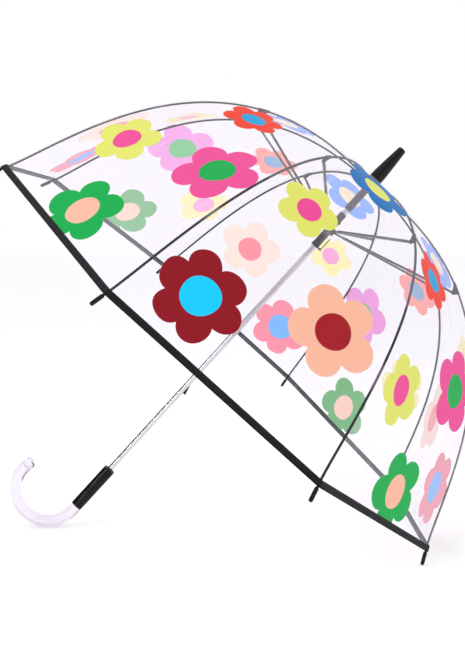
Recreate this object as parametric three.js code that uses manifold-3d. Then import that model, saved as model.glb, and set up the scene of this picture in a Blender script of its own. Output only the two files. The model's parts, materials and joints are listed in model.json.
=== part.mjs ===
// Children's clear dome umbrella with a crook handle, lying open on the floor on its crook and
// two rib tips. Millimetres, +Z up, origin under the middle of the object.
//
// Everything is made about the shaft's own axis: z runs up the shaft to the ferrule, with z = 0
// at the hem's corners, and x points to the side that lies down. Each rib and stretcher is made
// in the x-z plane and turned about the shaft. At the end the whole umbrella is tipped until the
// crook and the two lowest rib tips stand on the floor.
import * as THREE from "three";
import { mergeVertices } from "three/addons/utils/BufferGeometryUtils.js";
import Module from "manifold-3d";

const wasm = await Module();
wasm.setup();

// ---------------------------------------------------------------- driving dimensions
const RIB_COUNT = 8;
const FIT = 0.3; // gap left between pieces that touch or fit into each other
const PIVOT_FIT = 0.4; // side play of a tongue in its slot

// dome
const HEM_RADIUS = 355; // shaft axis to a rib where it crosses the hem
const DOME_DEPTH = 282; // hem corners up to the rib hinges
const CROWN_HANDLE = 267; // pull of the rib's curve at the crown
const CROWN_RISE = 2.7; // degrees by which a rib rises as it leaves the crown
const HEM_HANDLE = 76; // pull of the rib's curve at the hem
const HEM_SLOPE = 62.6; // degrees below level at the hem
const FILM_THICKNESS = 1; // of the plain solid that stands for the film
const FILM_CLEAR = 0.4; // film to the ribs' corners

// ribs and stretchers, folded from sheet into channels
const RIB_WIDTH = 2.8;
const RIB_HEIGHT = 2.9;
const CHANNEL_WALL = 0.45;
const BRACKET_ALONG = 174; // rib hinge to bracket, along the rib
const BRACKET_DROP = 5.5; // bend axis down to the stretcher's pin
const STRETCHER_HEIGHT = 2.9;
const TONGUE = 1; // thickness of every flat tongue
const TONGUE_RADIUS = 1.45;
const RUNNER_EYE_RADIUS = 0.9; // stretcher's end at the runner
const PIN_RADIUS = 0.6;
const TONGUE_RUN = 18; // flattened run at a stretcher's runner end, clear of the ring as it folds
const TIP_LENGTH = 21;
const TIP_RADIUS = 2.3;
const TIP_PEG = 8; // how far the rib's round end goes into the tip
const TIP_PEG_RADIUS = 1;

// shaft
const SHAFT_RADIUS = 3.6;
const SHAFT_WALL = 0.8;
const SHAFT_IN_COLLAR = 61; // how far the shaft goes into the collar
const SHAFT_IN_FERRULE = 15; // and into the ferrule

// crown and runner
const CROWN_HUB_WALL = 1;
const CROWN_BARREL_LENGTH = 44;
const CROWN_BELOW = 2.5; // flange below its hinge ring
const WIRE_RADIUS = 0.5;
const WIRE_GROOVE = 1.6;
const FLANGE_LIP = 2.2; // flange beyond its hinge ring
const RUNNER_BELOW_CROWN = 78; // hinge ring to hinge ring, umbrella open
const RUNNER_SLEEVE_WALL = 1.25;
const RUNNER_RING_LIP = 2.1;
const RUNNER_RING_HALF = 4.5;
const RUNNER_NECK = 27; // above the ring's hinge line
const RUNNER_NECK_WALL = 0.95;
const RUNNER_TAIL = 28; // below the ring's hinge line
const RUNNER_FOOT_LIP = 0.5;
const RUNNER_FOOT = 2;
const GUARD_GAP = 3.45; // for a finger, between the sleeve and the guard
const GUARD_PLATE = 1.2;
const GUARD_WIDTH = 3;
const GUARD_LENGTH = 20;
const CLOSED_RADIUS = 24; // shaft axis to the rib brackets when furled

// catch springs, pressed into the shaft by a finger
const SPRING_WIDTH = 1.8;
const SPRING_LEG = 1.9; // shaft axis to the inside of a spring
const BOTTOM_SPRING_BELOW = 6.5; // furled hinge ring down to its thin end
const BOTTOM_SPRING_LENGTH = 16;
const BOTTOM_SPRING_RISE = 3.4; // above the shaft's surface
const TOP_SPRING_ABOVE = 6; // open hinge ring up to its thin end
const TOP_SPRING_LENGTH = 10;
const TOP_SPRING_RISE = 2.4;
const SPRING_SLOT_END = 1.2; // room for the steep end to swing

// ferrule, washer, collar and crook
const WASHER_RADIUS = 12;
const WASHER_PLATE = 1.2;
const FERRULE_LENGTH = 53.7;
const FERRULE_BASE_RADIUS = 8.85;
const FERRULE_TIP_RADIUS = 5.5;
const FERRULE_ROUND = 3;
const COLLAR_TOP = -220; // below the hem's corners
const COLLAR_LENGTH = 66;
const COLLAR_RADIUS = 7.8;
const CROOK_TUBE_RADIUS = 7.5;
const CROOK_BEND_RADIUS = 42.3;
const CROOK_STRAIGHT = 10;
const CROOK_TURN = 188; // degrees of clear crook
const CROOK_CAP_TURN = 13; // and of its end cap
const CROOK_SPIGOT = 4; // up into the collar

const ROUND = 24; // sides of a round piece
const UPPER_STEPS = 8; // straight stretches that make the curve of an upper rib and its film
const LOWER_STEPS = 14;

// ---------------------------------------------------------------- values worked out from them
const HALF_GORE = Math.PI / RIB_COUNT;
const FILM_LIFT = RIB_HEIGHT / 2 + (RIB_WIDTH / 2) * Math.tan(HALF_GORE) + FILM_CLEAR;
const BORE = SHAFT_RADIUS + FIT;
const CROWN_HUB = BORE + CROWN_HUB_WALL;
const CROWN_PIVOT = CROWN_HUB + FIT + TONGUE_RADIUS;
const CROWN_Z = DOME_DEPTH;
const CROWN_TOP = CROWN_Z + TONGUE_RADIUS + FIT;
const CROWN_FLANGE = CROWN_PIVOT + FLANGE_LIP;
const WASHER_Z = CROWN_Z + FILM_LIFT + FILM_THICKNESS + 0.6;
const FERRULE_Z = WASHER_Z + WASHER_PLATE + FIT;
const SHAFT_TOP = FERRULE_Z + SHAFT_IN_FERRULE;
const SLEEVE = BORE + RUNNER_SLEEVE_WALL;
const GUARD_REACH = SLEEVE + GUARD_GAP + GUARD_PLATE;
const RUNNER_Z = CROWN_Z - RUNNER_BELOW_CROWN;
const TOP_SPRING_Z = RUNNER_Z + TOP_SPRING_ABOVE;
const RUNNER_PIVOT = SLEEVE + WIRE_RADIUS + 0.45;
const RUNNER_RING = RUNNER_PIVOT + RUNNER_RING_LIP;
const COLLAR_Z = COLLAR_TOP - COLLAR_LENGTH;
const CROOK_TOP = COLLAR_Z - FIT;
const CROOK_LEVEL = CROOK_TOP - CROOK_STRAIGHT; // where the bend starts
const SHAFT_END = COLLAR_TOP - SHAFT_IN_COLLAR;
const RIB_STEP = 2 * HALF_GORE;
const radians = THREE.MathUtils.degToRad;

// A rib's centre line, as distance from the shaft against height.
const ribLine = new THREE.CubicBezierCurve(
  new THREE.Vector2(CROWN_PIVOT, CROWN_Z),
  new THREE.Vector2(
    CROWN_PIVOT + CROWN_HANDLE * Math.cos(radians(CROWN_RISE)),
    CROWN_Z + CROWN_HANDLE * Math.sin(radians(CROWN_RISE)),
  ),
  new THREE.Vector2(
    HEM_RADIUS - HEM_HANDLE * Math.cos(radians(HEM_SLOPE)),
    HEM_HANDLE * Math.sin(radians(HEM_SLOPE)),
  ),
  new THREE.Vector2(HEM_RADIUS, 0),
);
ribLine.arcLengthDivisions = 800;
const RIB_LENGTH = ribLine.getLength();

// The point a distance along the rib and a lift outwards from it.
function alongRib(distance, lift = 0) {
  const share = Math.min(distance / RIB_LENGTH, 1);
  const point = ribLine.getPointAt(share);
  const way = ribLine.getTangentAt(share);
  return new THREE.Vector2(point.x - way.y * lift, point.y + way.x * lift);
}

// The furled position: each rib swings down until its bracket stands CLOSED_RADIUS from the
// shaft, and the runner slides down with the stretchers.
const bracket = alongRib(BRACKET_ALONG);
const stretcherPin = alongRib(BRACKET_ALONG - 1, -BRACKET_DROP);
const crownHinge = new THREE.Vector2(CROWN_PIVOT, CROWN_Z);
const runnerHinge = new THREE.Vector2(RUNNER_PIVOT, RUNNER_Z);
const STRETCHER_LENGTH = stretcherPin.distanceTo(runnerHinge);

function swung(point, hinge, angle) {
  return point.clone().sub(hinge).rotateAround(new THREE.Vector2(), -angle).add(hinge);
}

function closingAngle() {
  const arm = bracket.clone().sub(crownHinge);
  const before = Math.atan2(-arm.y, arm.x);
  return Math.acos((CLOSED_RADIUS - CROWN_PIVOT) / arm.length()) - before;
}

const furledPin = swung(stretcherPin, crownHinge, closingAngle());
const furledDrop = Math.sqrt(STRETCHER_LENGTH ** 2 - (furledPin.x - RUNNER_PIVOT) ** 2);
const RUNNER_TRAVEL = RUNNER_Z - (furledPin.y - furledDrop);
const BOTTOM_SPRING_Z = RUNNER_Z - RUNNER_TRAVEL - BOTTOM_SPRING_BELOW;

// ---------------------------------------------------------------- shape tools
// A closed geometry as a solid for joining and cutting.
function solidOf(geometry) {
  const bare = geometry.clone();
  bare.deleteAttribute("normal");
  bare.deleteAttribute("uv");
  const merged = mergeVertices(bare, 1e-4);
  return new wasm.Manifold(
    new wasm.Mesh({
      numProp: 3,
      vertProperties: merged.attributes.position.array,
      triVerts: new Uint32Array(merged.index.array),
    }),
  );
}

function geometryOf(solid) {
  const made = solid.getMesh();
  const geometry = new THREE.BufferGeometry();
  geometry.setAttribute("position", new THREE.BufferAttribute(made.vertProperties, 3));
  geometry.setIndex(new THREE.BufferAttribute(made.triVerts, 1));
  return geometry;
}

function join(...pieces) {
  return geometryOf(pieces.map(solidOf).reduce((sum, piece) => sum.add(piece)));
}

function cut(piece, ...tools) {
  return geometryOf(tools.map(solidOf).reduce((left, tool) => left.subtract(tool), solidOf(piece)));
}

// A round piece about the z axis, from [radius, height] pairs running up its outside.
function turned(profile, sides = ROUND) {
  const points = profile.map(([radius, height]) => new THREE.Vector2(radius, height));
  return new THREE.LatheGeometry(points, sides).rotateX(Math.PI / 2);
}

// A box between two corners.
function block(low, high) {
  const size = high.map((value, axis) => value - low[axis]);
  const middle = high.map((value, axis) => (value + low[axis]) / 2);
  return new THREE.BoxGeometry(...size).translate(...middle);
}

// A flat plate in the x-z plane, between y = from and y = to.
function plate(shape, from, to) {
  const flat = new THREE.ExtrudeGeometry(shape, {
    depth: to - from,
    bevelEnabled: false,
    curveSegments: 5,
  });
  return flat.rotateX(Math.PI / 2).translate(0, to, 0);
}

function outline(points) {
  return new THREE.Shape(points.map(([x, z]) => new THREE.Vector2(x, z)));
}

// A pin across the x-z plane.
function crossPin(centre, radius, length) {
  return new THREE.CylinderGeometry(radius, radius, length, 10).translate(centre.x, 0, centre.y);
}

// A tongue: a flat strip with a round eye at centre, running towards a second point.
function tongue(centre, towards, halfHeight) {
  const way = towards.clone().sub(centre);
  const turn = Math.atan2(way.y, way.x);
  const shape = new THREE.Shape();
  shape.absarc(0, 0, halfHeight, Math.PI / 2, (3 * Math.PI) / 2, false);
  shape.lineTo(way.length(), -halfHeight);
  shape.lineTo(way.length(), halfHeight);
  const strip = plate(shape, -TONGUE / 2, TONGUE / 2);
  return strip.rotateY(-turn).translate(centre.x, 0, centre.y);
}

// The section of a channel, open towards the inside of the dome.
function channelSection(height) {
  const side = RIB_WIDTH / 2;
  const inside = side - CHANNEL_WALL;
  const top = -height / 2;
  return outline([
    [-side, top],
    [side, top],
    [side, -top],
    [inside, -top],
    [inside, top + CHANNEL_WALL],
    [-inside, top + CHANNEL_WALL],
    [-inside, -top],
    [-side, -top],
  ]);
}

// The stretch of rib between two distances along it, as a path in the x-z plane.
class RibPath extends THREE.Curve {
  constructor(from, to) {
    super();
    this.from = from;
    this.to = to;
  }
  getPoint(share, target = new THREE.Vector3()) {
    const point = alongRib(this.from + (this.to - this.from) * share);
    return target.set(point.x, 0, point.y);
  }
}

function swept(section, path, steps) {
  return new THREE.ExtrudeGeometry(section, { extrudePath: path, steps, bevelEnabled: false });
}

function inPlane(point) {
  return new THREE.Vector3(point.x, 0, point.y);
}

// ---------------------------------------------------------------- materials
function finish(colour, roughness, metalness, opacity = 1) {
  return new THREE.MeshStandardMaterial({
    color: colour,
    roughness,
    metalness,
    opacity,
    transparent: opacity < 1,
  });
}

const platedSteel = finish("#c9ccd0", 0.22, 1);
const greySteel = finish("#5d6466", 0.4, 0.8);
const blackPlastic = finish("#1a1b1d", 0.3, 0);
const greyPlastic = finish("#4c4f52", 0.45, 0);
const clearAcrylic = finish("#e9eef0", 0.05, 0, 0.4);
const clearFilm = finish("#efe9f4", 0.12, 0, 0.3);

const umbrella = new THREE.Group();

function add(name, geometry, material, parent = umbrella) {
  const mesh = new THREE.Mesh(geometry, material);
  mesh.name = name;
  parent.add(mesh);
  return mesh;
}

// ---------------------------------------------------------------- shaft with its two spring slots
// A spring's side view: thin end first, rising to the steep end. way is +1 up the shaft, -1 down.
function springOutline(thinZ, length, rise, way) {
  const steepZ = thinZ + way * length;
  const crest = SHAFT_RADIUS + rise;
  return outline([
    [SPRING_LEG, thinZ],
    [SHAFT_RADIUS - FIT, thinZ],
    [crest, steepZ - way * 1.6],
    [crest - 0.5, steepZ],
    [SPRING_LEG, steepZ],
  ]);
}

// The slot that a spring swings in, through the near wall of a tube.
function springSlot(thinZ, length, way, outer, halfWidth) {
  const ends = [thinZ - way * 0.5, thinZ + way * (length + SPRING_SLOT_END)];
  return block([0.5, -halfWidth, Math.min(...ends)], [outer, halfWidth, Math.max(...ends)]);
}

const SLOT_HALF = SPRING_WIDTH / 2 + PIVOT_FIT;
const tube = turned([
  [SHAFT_RADIUS - SHAFT_WALL, SHAFT_END],
  [SHAFT_RADIUS, SHAFT_END],
  [SHAFT_RADIUS, SHAFT_TOP],
  [SHAFT_RADIUS - SHAFT_WALL, SHAFT_TOP],
  [SHAFT_RADIUS - SHAFT_WALL, SHAFT_END],
]);
const bottomSlot = springSlot(BOTTOM_SPRING_Z, BOTTOM_SPRING_LENGTH, -1, 5, SLOT_HALF);
const topSlot = springSlot(TOP_SPRING_Z, TOP_SPRING_LENGTH, 1, 5, SLOT_HALF);
add("shaft", cut(tube, bottomSlot, topSlot), platedSteel);

const SPRING_SIDE = SPRING_WIDTH / 2;
const bottomWedge = springOutline(BOTTOM_SPRING_Z, BOTTOM_SPRING_LENGTH, BOTTOM_SPRING_RISE, -1);
const topWedge = springOutline(TOP_SPRING_Z, TOP_SPRING_LENGTH, TOP_SPRING_RISE, 1);
add("bottom_spring", plate(bottomWedge, -SPRING_SIDE, SPRING_SIDE), blackPlastic);
add("top_spring", plate(topWedge, -SPRING_SIDE, SPRING_SIDE), blackPlastic);

// ---------------------------------------------------------------- crown, its wire and the washer
// One slot for each rib or stretcher, from inner radius outwards, through the flange.
function hingeSlots(inner, outer, low, high) {
  const half = TONGUE / 2 + PIVOT_FIT;
  return Array.from({ length: RIB_COUNT }, (_, index) =>
    block([inner, -half, low], [outer, half, high]).rotateZ((index + 0.5) * RIB_STEP),
  );
}

// The ring of wire that the tongues hang on, in a groove cut from the flange's top.
function wireRing(radius, height) {
  return new THREE.TorusGeometry(radius, WIRE_RADIUS, 6, 32).translate(0, 0, height);
}

const crownBody = turned([
  [BORE, CROWN_Z - CROWN_BARREL_LENGTH],
  [CROWN_HUB, CROWN_Z - CROWN_BARREL_LENGTH],
  [CROWN_HUB, CROWN_Z - CROWN_BELOW],
  [CROWN_FLANGE, CROWN_Z - CROWN_BELOW],
  [CROWN_FLANGE, CROWN_TOP],
  [CROWN_PIVOT + WIRE_GROOVE / 2, CROWN_TOP],
  [CROWN_PIVOT + WIRE_GROOVE / 2, CROWN_Z - WIRE_GROOVE / 2],
  [CROWN_PIVOT - WIRE_GROOVE / 2, CROWN_Z - WIRE_GROOVE / 2],
  [CROWN_PIVOT - WIRE_GROOVE / 2, CROWN_TOP],
  [BORE, CROWN_TOP],
  [BORE, CROWN_Z - CROWN_BARREL_LENGTH],
]);
const crownSlots = hingeSlots(CROWN_HUB, CROWN_FLANGE + 1, CROWN_Z - CROWN_BELOW - 1, CROWN_TOP + 1);
add("crown", cut(crownBody, ...crownSlots), greySteel);
add("crown_wire", wireRing(CROWN_PIVOT, CROWN_Z), greySteel);

const WASHER_HUB = CROWN_FLANGE - FIT;
const washer = turned([
  [BORE, CROWN_TOP + FIT],
  [WASHER_HUB, CROWN_TOP + FIT],
  [WASHER_HUB, WASHER_Z],
  [WASHER_RADIUS, WASHER_Z],
  [WASHER_RADIUS - 0.4, WASHER_Z + WASHER_PLATE],
  [BORE, WASHER_Z + WASHER_PLATE],
  [BORE, CROWN_TOP + FIT],
]);
add("crown_washer", washer, blackPlastic);

// ---------------------------------------------------------------- ferrule
const FERRULE_END = FERRULE_Z + FERRULE_LENGTH;
const ferrule = turned([
  [0, SHAFT_TOP + FIT],
  [BORE, SHAFT_TOP + FIT],
  [BORE, FERRULE_Z],
  [FERRULE_BASE_RADIUS - 0.6, FERRULE_Z],
  [FERRULE_BASE_RADIUS, FERRULE_Z + 1],
  [FERRULE_BASE_RADIUS, FERRULE_Z + 10],
  [FERRULE_TIP_RADIUS, FERRULE_END - FERRULE_ROUND],
  [FERRULE_TIP_RADIUS - 1, FERRULE_END - 0.8],
  [FERRULE_TIP_RADIUS - FERRULE_ROUND, FERRULE_END],
  [0, FERRULE_END],
]);
add("ferrule", ferrule, blackPlastic);

// ---------------------------------------------------------------- runner with its finger guard
const NECK = BORE + RUNNER_NECK_WALL;
const RING_LOW = RUNNER_Z - RUNNER_RING_HALF;
const RING_HIGH = RUNNER_Z + RUNNER_RING_HALF;
const RUNNER_FOOT_Z = RUNNER_Z - RUNNER_TAIL;
const runnerBody = turned([
  [BORE, RUNNER_FOOT_Z],
  [SLEEVE + RUNNER_FOOT_LIP, RUNNER_FOOT_Z],
  [SLEEVE + RUNNER_FOOT_LIP, RUNNER_FOOT_Z + RUNNER_FOOT],
  [SLEEVE, RUNNER_FOOT_Z + RUNNER_FOOT + 1],
  [SLEEVE, RING_LOW],
  [RUNNER_RING, RING_LOW],
  [RUNNER_RING, RING_HIGH],
  [RUNNER_PIVOT + WIRE_GROOVE / 2, RING_HIGH],
  [RUNNER_PIVOT + WIRE_GROOVE / 2, RUNNER_Z - WIRE_GROOVE / 2],
  [RUNNER_PIVOT - WIRE_GROOVE / 2, RUNNER_Z - WIRE_GROOVE / 2],
  [RUNNER_PIVOT - WIRE_GROOVE / 2, RING_HIGH],
  [NECK, RING_HIGH],
  [NECK, RUNNER_Z + RUNNER_NECK],
  [BORE, RUNNER_Z + RUNNER_NECK],
  [BORE, RUNNER_FOOT_Z],
]);
const guardSide = GUARD_WIDTH / 2;
const guardPlate = block(
  [GUARD_REACH - GUARD_PLATE, -guardSide, RUNNER_FOOT_Z],
  [GUARD_REACH, guardSide, RUNNER_FOOT_Z + GUARD_LENGTH],
);
const guardFoot = block(
  [SLEEVE - 0.6, -guardSide, RUNNER_FOOT_Z],
  [GUARD_REACH - 0.4, guardSide, RUNNER_FOOT_Z + RUNNER_FOOT],
);
// The furled runner covers the bottom spring, which comes out through this window.
const windowTop = BOTTOM_SPRING_Z + RUNNER_TRAVEL + 0.6;
const windowFoot = BOTTOM_SPRING_Z - BOTTOM_SPRING_LENGTH + RUNNER_TRAVEL - 0.8;
const lowerWindow = block([1, -SLOT_HALF, windowFoot], [GUARD_REACH - 2, SLOT_HALF, windowTop]);
const upperWindow = springSlot(TOP_SPRING_Z, TOP_SPRING_LENGTH, 1, GUARD_REACH, SLOT_HALF);
const stretcherSlots = hingeSlots(SLEEVE + 0.1, RUNNER_RING + 1, RING_LOW - 0.5, RING_HIGH + 0.5);
const runner = cut(
  join(runnerBody, guardPlate, guardFoot),
  lowerWindow,
  upperWindow,
  ...stretcherSlots,
);
add("runner", runner, greyPlastic);
add("runner_wire", wireRing(RUNNER_PIVOT, RUNNER_Z), greySteel);

// ---------------------------------------------------------------- ribs, stretchers and tips
const ROOM = RIB_WIDTH / 2 - CHANNEL_WALL; // half the inside width of a channel
const CHANNEL_START = 4.2; // rib hinge to the start of the rib's channel
const BRACKET_BACK = 12; // bracket plates behind the bend axis
const BEND_CLEAR = 4; // channels end this far from the bend axis

// One bracket plate: a small triangle under the rib that holds both pins.
function bracketPlate(from, to) {
  const half = RIB_HEIGHT / 2;
  const lobe = BRACKET_DROP + 2.2;
  const local = outline([
    [-BRACKET_BACK, half],
    [2, half],
    [3, 0.6],
    [3, -1.2],
    [1.3, -lobe + 0.8],
    [0.4, -lobe],
    [-2.4, -lobe],
    [-3.6, -lobe + 1],
    [-BRACKET_BACK, -half + 0.2],
  ]);
  const way = ribLine.getTangentAt(BRACKET_ALONG / RIB_LENGTH);
  return plate(local, from, to)
    .rotateY(-Math.atan2(way.y, way.x))
    .translate(bracket.x, 0, bracket.y);
}

function upperRib() {
  const channel = swept(
    channelSection(RIB_HEIGHT),
    new RibPath(CHANNEL_START, BRACKET_ALONG - BEND_CLEAR),
    UPPER_STEPS,
  );
  const root = tongue(crownHinge, alongRib(CHANNEL_START + 3), TONGUE_RADIUS);
  const side = RIB_WIDTH / 2;
  const whole = join(
    channel,
    root,
    bracketPlate(ROOM, side),
    bracketPlate(-side, -ROOM),
    crossPin(bracket, PIN_RADIUS, RIB_WIDTH - 0.2),
    crossPin(stretcherPin, PIN_RADIUS, RIB_WIDTH - 0.2),
  );
  return cut(whole, crossPin(crownHinge, WIRE_RADIUS + FIT, RIB_WIDTH));
}

// Sets a piece made along +z at the rib's end, just under the rib's web and in line with it.
function atRibEnd(geometry) {
  const way = ribLine.getTangentAt(1);
  const centre = alongRib(RIB_LENGTH, RIB_HEIGHT / 2 - TIP_PEG_RADIUS);
  return geometry.rotateY(Math.atan2(way.x, way.y)).translate(centre.x, 0, centre.y);
}

function lowerRib() {
  const start = BRACKET_ALONG + BEND_CLEAR + 0.8;
  const channel = swept(channelSection(RIB_HEIGHT), new RibPath(start, RIB_LENGTH), LOWER_STEPS);
  const root = tongue(bracket, alongRib(start + 3), TONGUE_RADIUS);
  const pegLength = TIP_PEG + 1;
  const peg = new THREE.CylinderGeometry(TIP_PEG_RADIUS, TIP_PEG_RADIUS, pegLength, 8)
    .rotateX(Math.PI / 2)
    .translate(0, 0, pegLength / 2 - 1);
  return cut(join(channel, root, atRibEnd(peg)), crossPin(bracket, PIN_RADIUS + FIT, RIB_WIDTH));
}

// A rib tip stands out past the hem along the rib, with a blind hole for the rib's peg.
function ribTip() {
  const hole = TIP_PEG_RADIUS + FIT;
  const tip = turned(
    [
      [0, TIP_PEG + FIT],
      [hole, TIP_PEG + FIT],
      [hole, FIT],
      [TIP_RADIUS - 0.4, FIT],
      [TIP_RADIUS, 1],
      [TIP_RADIUS, TIP_LENGTH - 2.2],
      [TIP_RADIUS - 0.6, TIP_LENGTH - 0.7],
      [TIP_RADIUS - 1.5, TIP_LENGTH],
      [0, TIP_LENGTH],
    ],
    12,
  );
  return atRibEnd(tip);
}

function stretcher() {
  const way = runnerHinge.clone().sub(stretcherPin).normalize();
  const at = (distance) => stretcherPin.clone().addScaledVector(way, distance);
  const channelFrom = at(4.6);
  const channelTo = at(STRETCHER_LENGTH - TONGUE_RUN);
  const openEnd = at(STRETCHER_LENGTH - 2 * WIRE_RADIUS - RUNNER_EYE_RADIUS);
  const path = new THREE.LineCurve3(inPlane(channelFrom), inPlane(channelTo));
  const root = STRETCHER_HEIGHT / 2 - CHANNEL_WALL / 2;
  const body = join(
    swept(channelSection(STRETCHER_HEIGHT), path, 1),
    tongue(stretcherPin, at(8), TONGUE_RADIUS),
    tongue(openEnd, at(STRETCHER_LENGTH - TONGUE_RUN - 3), RUNNER_EYE_RADIUS),
    tongue(at(STRETCHER_LENGTH - TONGUE_RUN - 2), at(STRETCHER_LENGTH - TONGUE_RUN - 4), root),
  );
  return cut(body, crossPin(stretcherPin, PIN_RADIUS + FIT, RIB_WIDTH));
}

// ---------------------------------------------------------------- canopy panels
// A closed solid through sections with the same number of corners.
function loft(sections) {
  const corners = sections[0].length;
  const points = sections.flat();
  const faces = [];
  for (let row = 0; row < sections.length - 1; row += 1) {
    for (let corner = 0; corner < corners; corner += 1) {
      const next = (corner + 1) % corners;
      const [a, b] = [row * corners + corner, row * corners + next];
      faces.push(a, b, b + corners, a, b + corners, a + corners);
    }
  }
  const last = (sections.length - 1) * corners;
  for (let corner = 1; corner < corners - 1; corner += 1) {
    faces.push(0, corner + 1, corner, last, last + corner, last + corner + 1);
  }
  const geometry = new THREE.BufferGeometry().setFromPoints(points);
  geometry.setIndex(faces);
  return geometry;
}

// One gore between two ribs, from one distance along them to another: straight across from rib
// to rib, curved the other way, and lifted clear of the ribs. It is made about the x axis.
function gore(from, to, rows) {
  const sections = [];
  for (let row = 0; row <= rows; row += 1) {
    const distance = from + ((to - from) * row) / rows;
    const faces = [FILM_LIFT, FILM_LIFT + FILM_THICKNESS].map((lift) => alongRib(distance, lift));
    const corner = (point, side) =>
      new THREE.Vector3(
        point.x * Math.cos(HALF_GORE),
        side * (point.x * Math.sin(HALF_GORE) - FIT),
        point.y,
      );
    const [inner, outer] = faces;
    sections.push([corner(inner, -1), corner(inner, 1), corner(outer, 1), corner(outer, -1)]);
  }
  return loft(sections);
}

const FILM_START = WASHER_HUB + 2 * FIT + 0.6 - CROWN_PIVOT; // along the rib, outside the washer's hub
const upperRibShape = upperRib();
const lowerRibShape = lowerRib();
const tipShape = ribTip();
const stretcherShape = stretcher();
const upperGoreShape = gore(FILM_START, BRACKET_ALONG - FIT, UPPER_STEPS);
const lowerGoreShape = gore(BRACKET_ALONG + FIT, RIB_LENGTH, LOWER_STEPS);

for (let number = 1; number <= RIB_COUNT; number += 1) {
  const ribPlace = new THREE.Group();
  ribPlace.rotation.z = (number - 0.5) * RIB_STEP;
  umbrella.add(ribPlace);
  add(`rib_upper_${number}`, upperRibShape, greySteel, ribPlace);
  add(`rib_lower_${number}`, lowerRibShape, greySteel, ribPlace);
  add(`rib_tip_${number}`, tipShape, blackPlastic, ribPlace);
  add(`stretcher_${number}`, stretcherShape, greySteel, ribPlace);

  const gorePlace = new THREE.Group(); // the gore between this rib and the next
  gorePlace.rotation.z = number * RIB_STEP;
  umbrella.add(gorePlace);
  add(`gore_upper_${number}`, upperGoreShape, clearFilm, gorePlace);
  add(`gore_lower_${number}`, lowerGoreShape, clearFilm, gorePlace);
}

// ---------------------------------------------------------------- collar and crook handle
const collar = turned([
  [BORE, COLLAR_Z],
  [COLLAR_RADIUS, COLLAR_Z],
  [COLLAR_RADIUS, COLLAR_TOP - 2],
  [COLLAR_RADIUS - 1.4, COLLAR_TOP],
  [BORE, COLLAR_TOP],
  [BORE, COLLAR_Z],
]);
add("collar", collar, blackPlastic);

// The crook's centre line: straight down the shaft, then round, curling to the upper side.
class CrookPath extends THREE.Curve {
  constructor(straight, fromAngle, toAngle) {
    super();
    this.straight = straight;
    this.fromAngle = fromAngle;
    this.toAngle = toAngle;
  }
  getPoint(share, target = new THREE.Vector3()) {
    const bend = CROOK_BEND_RADIUS * (this.toAngle - this.fromAngle);
    const distance = share * (this.straight + bend);
    if (distance < this.straight) {
      return target.set(0, 0, CROOK_LEVEL + this.straight - distance);
    }
    const angle = this.fromAngle + (distance - this.straight) / CROOK_BEND_RADIUS;
    return target.set(
      -CROOK_BEND_RADIUS * (1 - Math.cos(angle)),
      0,
      CROOK_LEVEL - CROOK_BEND_RADIUS * Math.sin(angle),
    );
  }
}

function disc(radius, sides) {
  const shape = new THREE.Shape();
  for (let side = 0; side < sides; side += 1) {
    const angle = (2 * Math.PI * side) / sides;
    const point = [radius * Math.cos(angle), radius * Math.sin(angle)];
    if (side === 0) {
      shape.moveTo(...point);
    } else {
      shape.lineTo(...point);
    }
  }
  return shape;
}

const CROOK_END = radians(CROOK_TURN);
const CAP_GAP = FIT / CROOK_BEND_RADIUS;
const crookTube = swept(disc(CROOK_TUBE_RADIUS, 16), new CrookPath(CROOK_STRAIGHT, 0, CROOK_END), 34);
const spigotTop = CROOK_TOP + CROOK_SPIGOT;
const spigot = new THREE.CylinderGeometry(SHAFT_RADIUS, SHAFT_RADIUS, CROOK_SPIGOT + 2, ROUND)
  .rotateX(Math.PI / 2)
  .translate(0, 0, spigotTop - (CROOK_SPIGOT + 2) / 2);
add("crook", join(crookTube, spigot), clearAcrylic);

// The end cap: a short stretch of the same bend, drawn in to a rounded end.
function crookCap() {
  const from = CROOK_END + CAP_GAP;
  const to = CROOK_END + radians(CROOK_CAP_TURN);
  const rows = 6;
  const sides = 16;
  const path = new CrookPath(0, from, to);
  const sections = [];
  for (let row = 0; row <= rows; row += 1) {
    const share = row / rows;
    const centre = path.getPoint(share);
    const angle = from + (to - from) * share;
    const radius = CROOK_TUBE_RADIUS * Math.sqrt(1 - 0.8 * Math.max(0, (share - 0.3) / 0.7) ** 3);
    const across = new THREE.Vector3(Math.cos(angle), 0, -Math.sin(angle));
    const section = [];
    for (let side = 0; side < sides; side += 1) {
      const turn = (2 * Math.PI * side) / sides;
      const point = centre.clone().addScaledVector(across, radius * Math.cos(turn));
      point.y -= radius * Math.sin(turn);
      section.push(point);
    }
    sections.push(section);
  }
  return loft(sections);
}
add("crook_cap", crookCap(), clearAcrylic);

// ---------------------------------------------------------------- lay it on the floor
// The shaft leans at the angle where the crook's bend and the two lowest tips touch one plane.
function restingAngle() {
  const way = ribLine.getTangentAt(1);
  const reach = TIP_LENGTH - TIP_RADIUS / 2;
  const tipOut = (HEM_RADIUS + way.x * reach) * Math.cos(HALF_GORE);
  const tipDown = -way.y * reach;
  const across = tipOut + CROOK_BEND_RADIUS;
  const along = -CROOK_LEVEL - tipDown;
  const crookOut = CROOK_BEND_RADIUS + CROOK_TUBE_RADIUS - TIP_RADIUS / 2;
  return Math.atan2(across, along) - Math.asin(crookOut / Math.hypot(across, along));
}

umbrella.rotation.y = Math.PI / 2 - restingAngle();

const group = new THREE.Group();
group.add(umbrella);
group.updateMatrixWorld(true);
const box = new THREE.Box3().setFromObject(group, true);
const middle = box.getCenter(new THREE.Vector3());
umbrella.position.set(-middle.x, -middle.y, -box.min.z);

export default group;
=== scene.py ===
"""A child's clear dome umbrella, open, lying on its crook and two rib tips."""
import json
import math
import bmesh
import bpy
import numpy as np
from mathutils import Matrix, Vector


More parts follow.
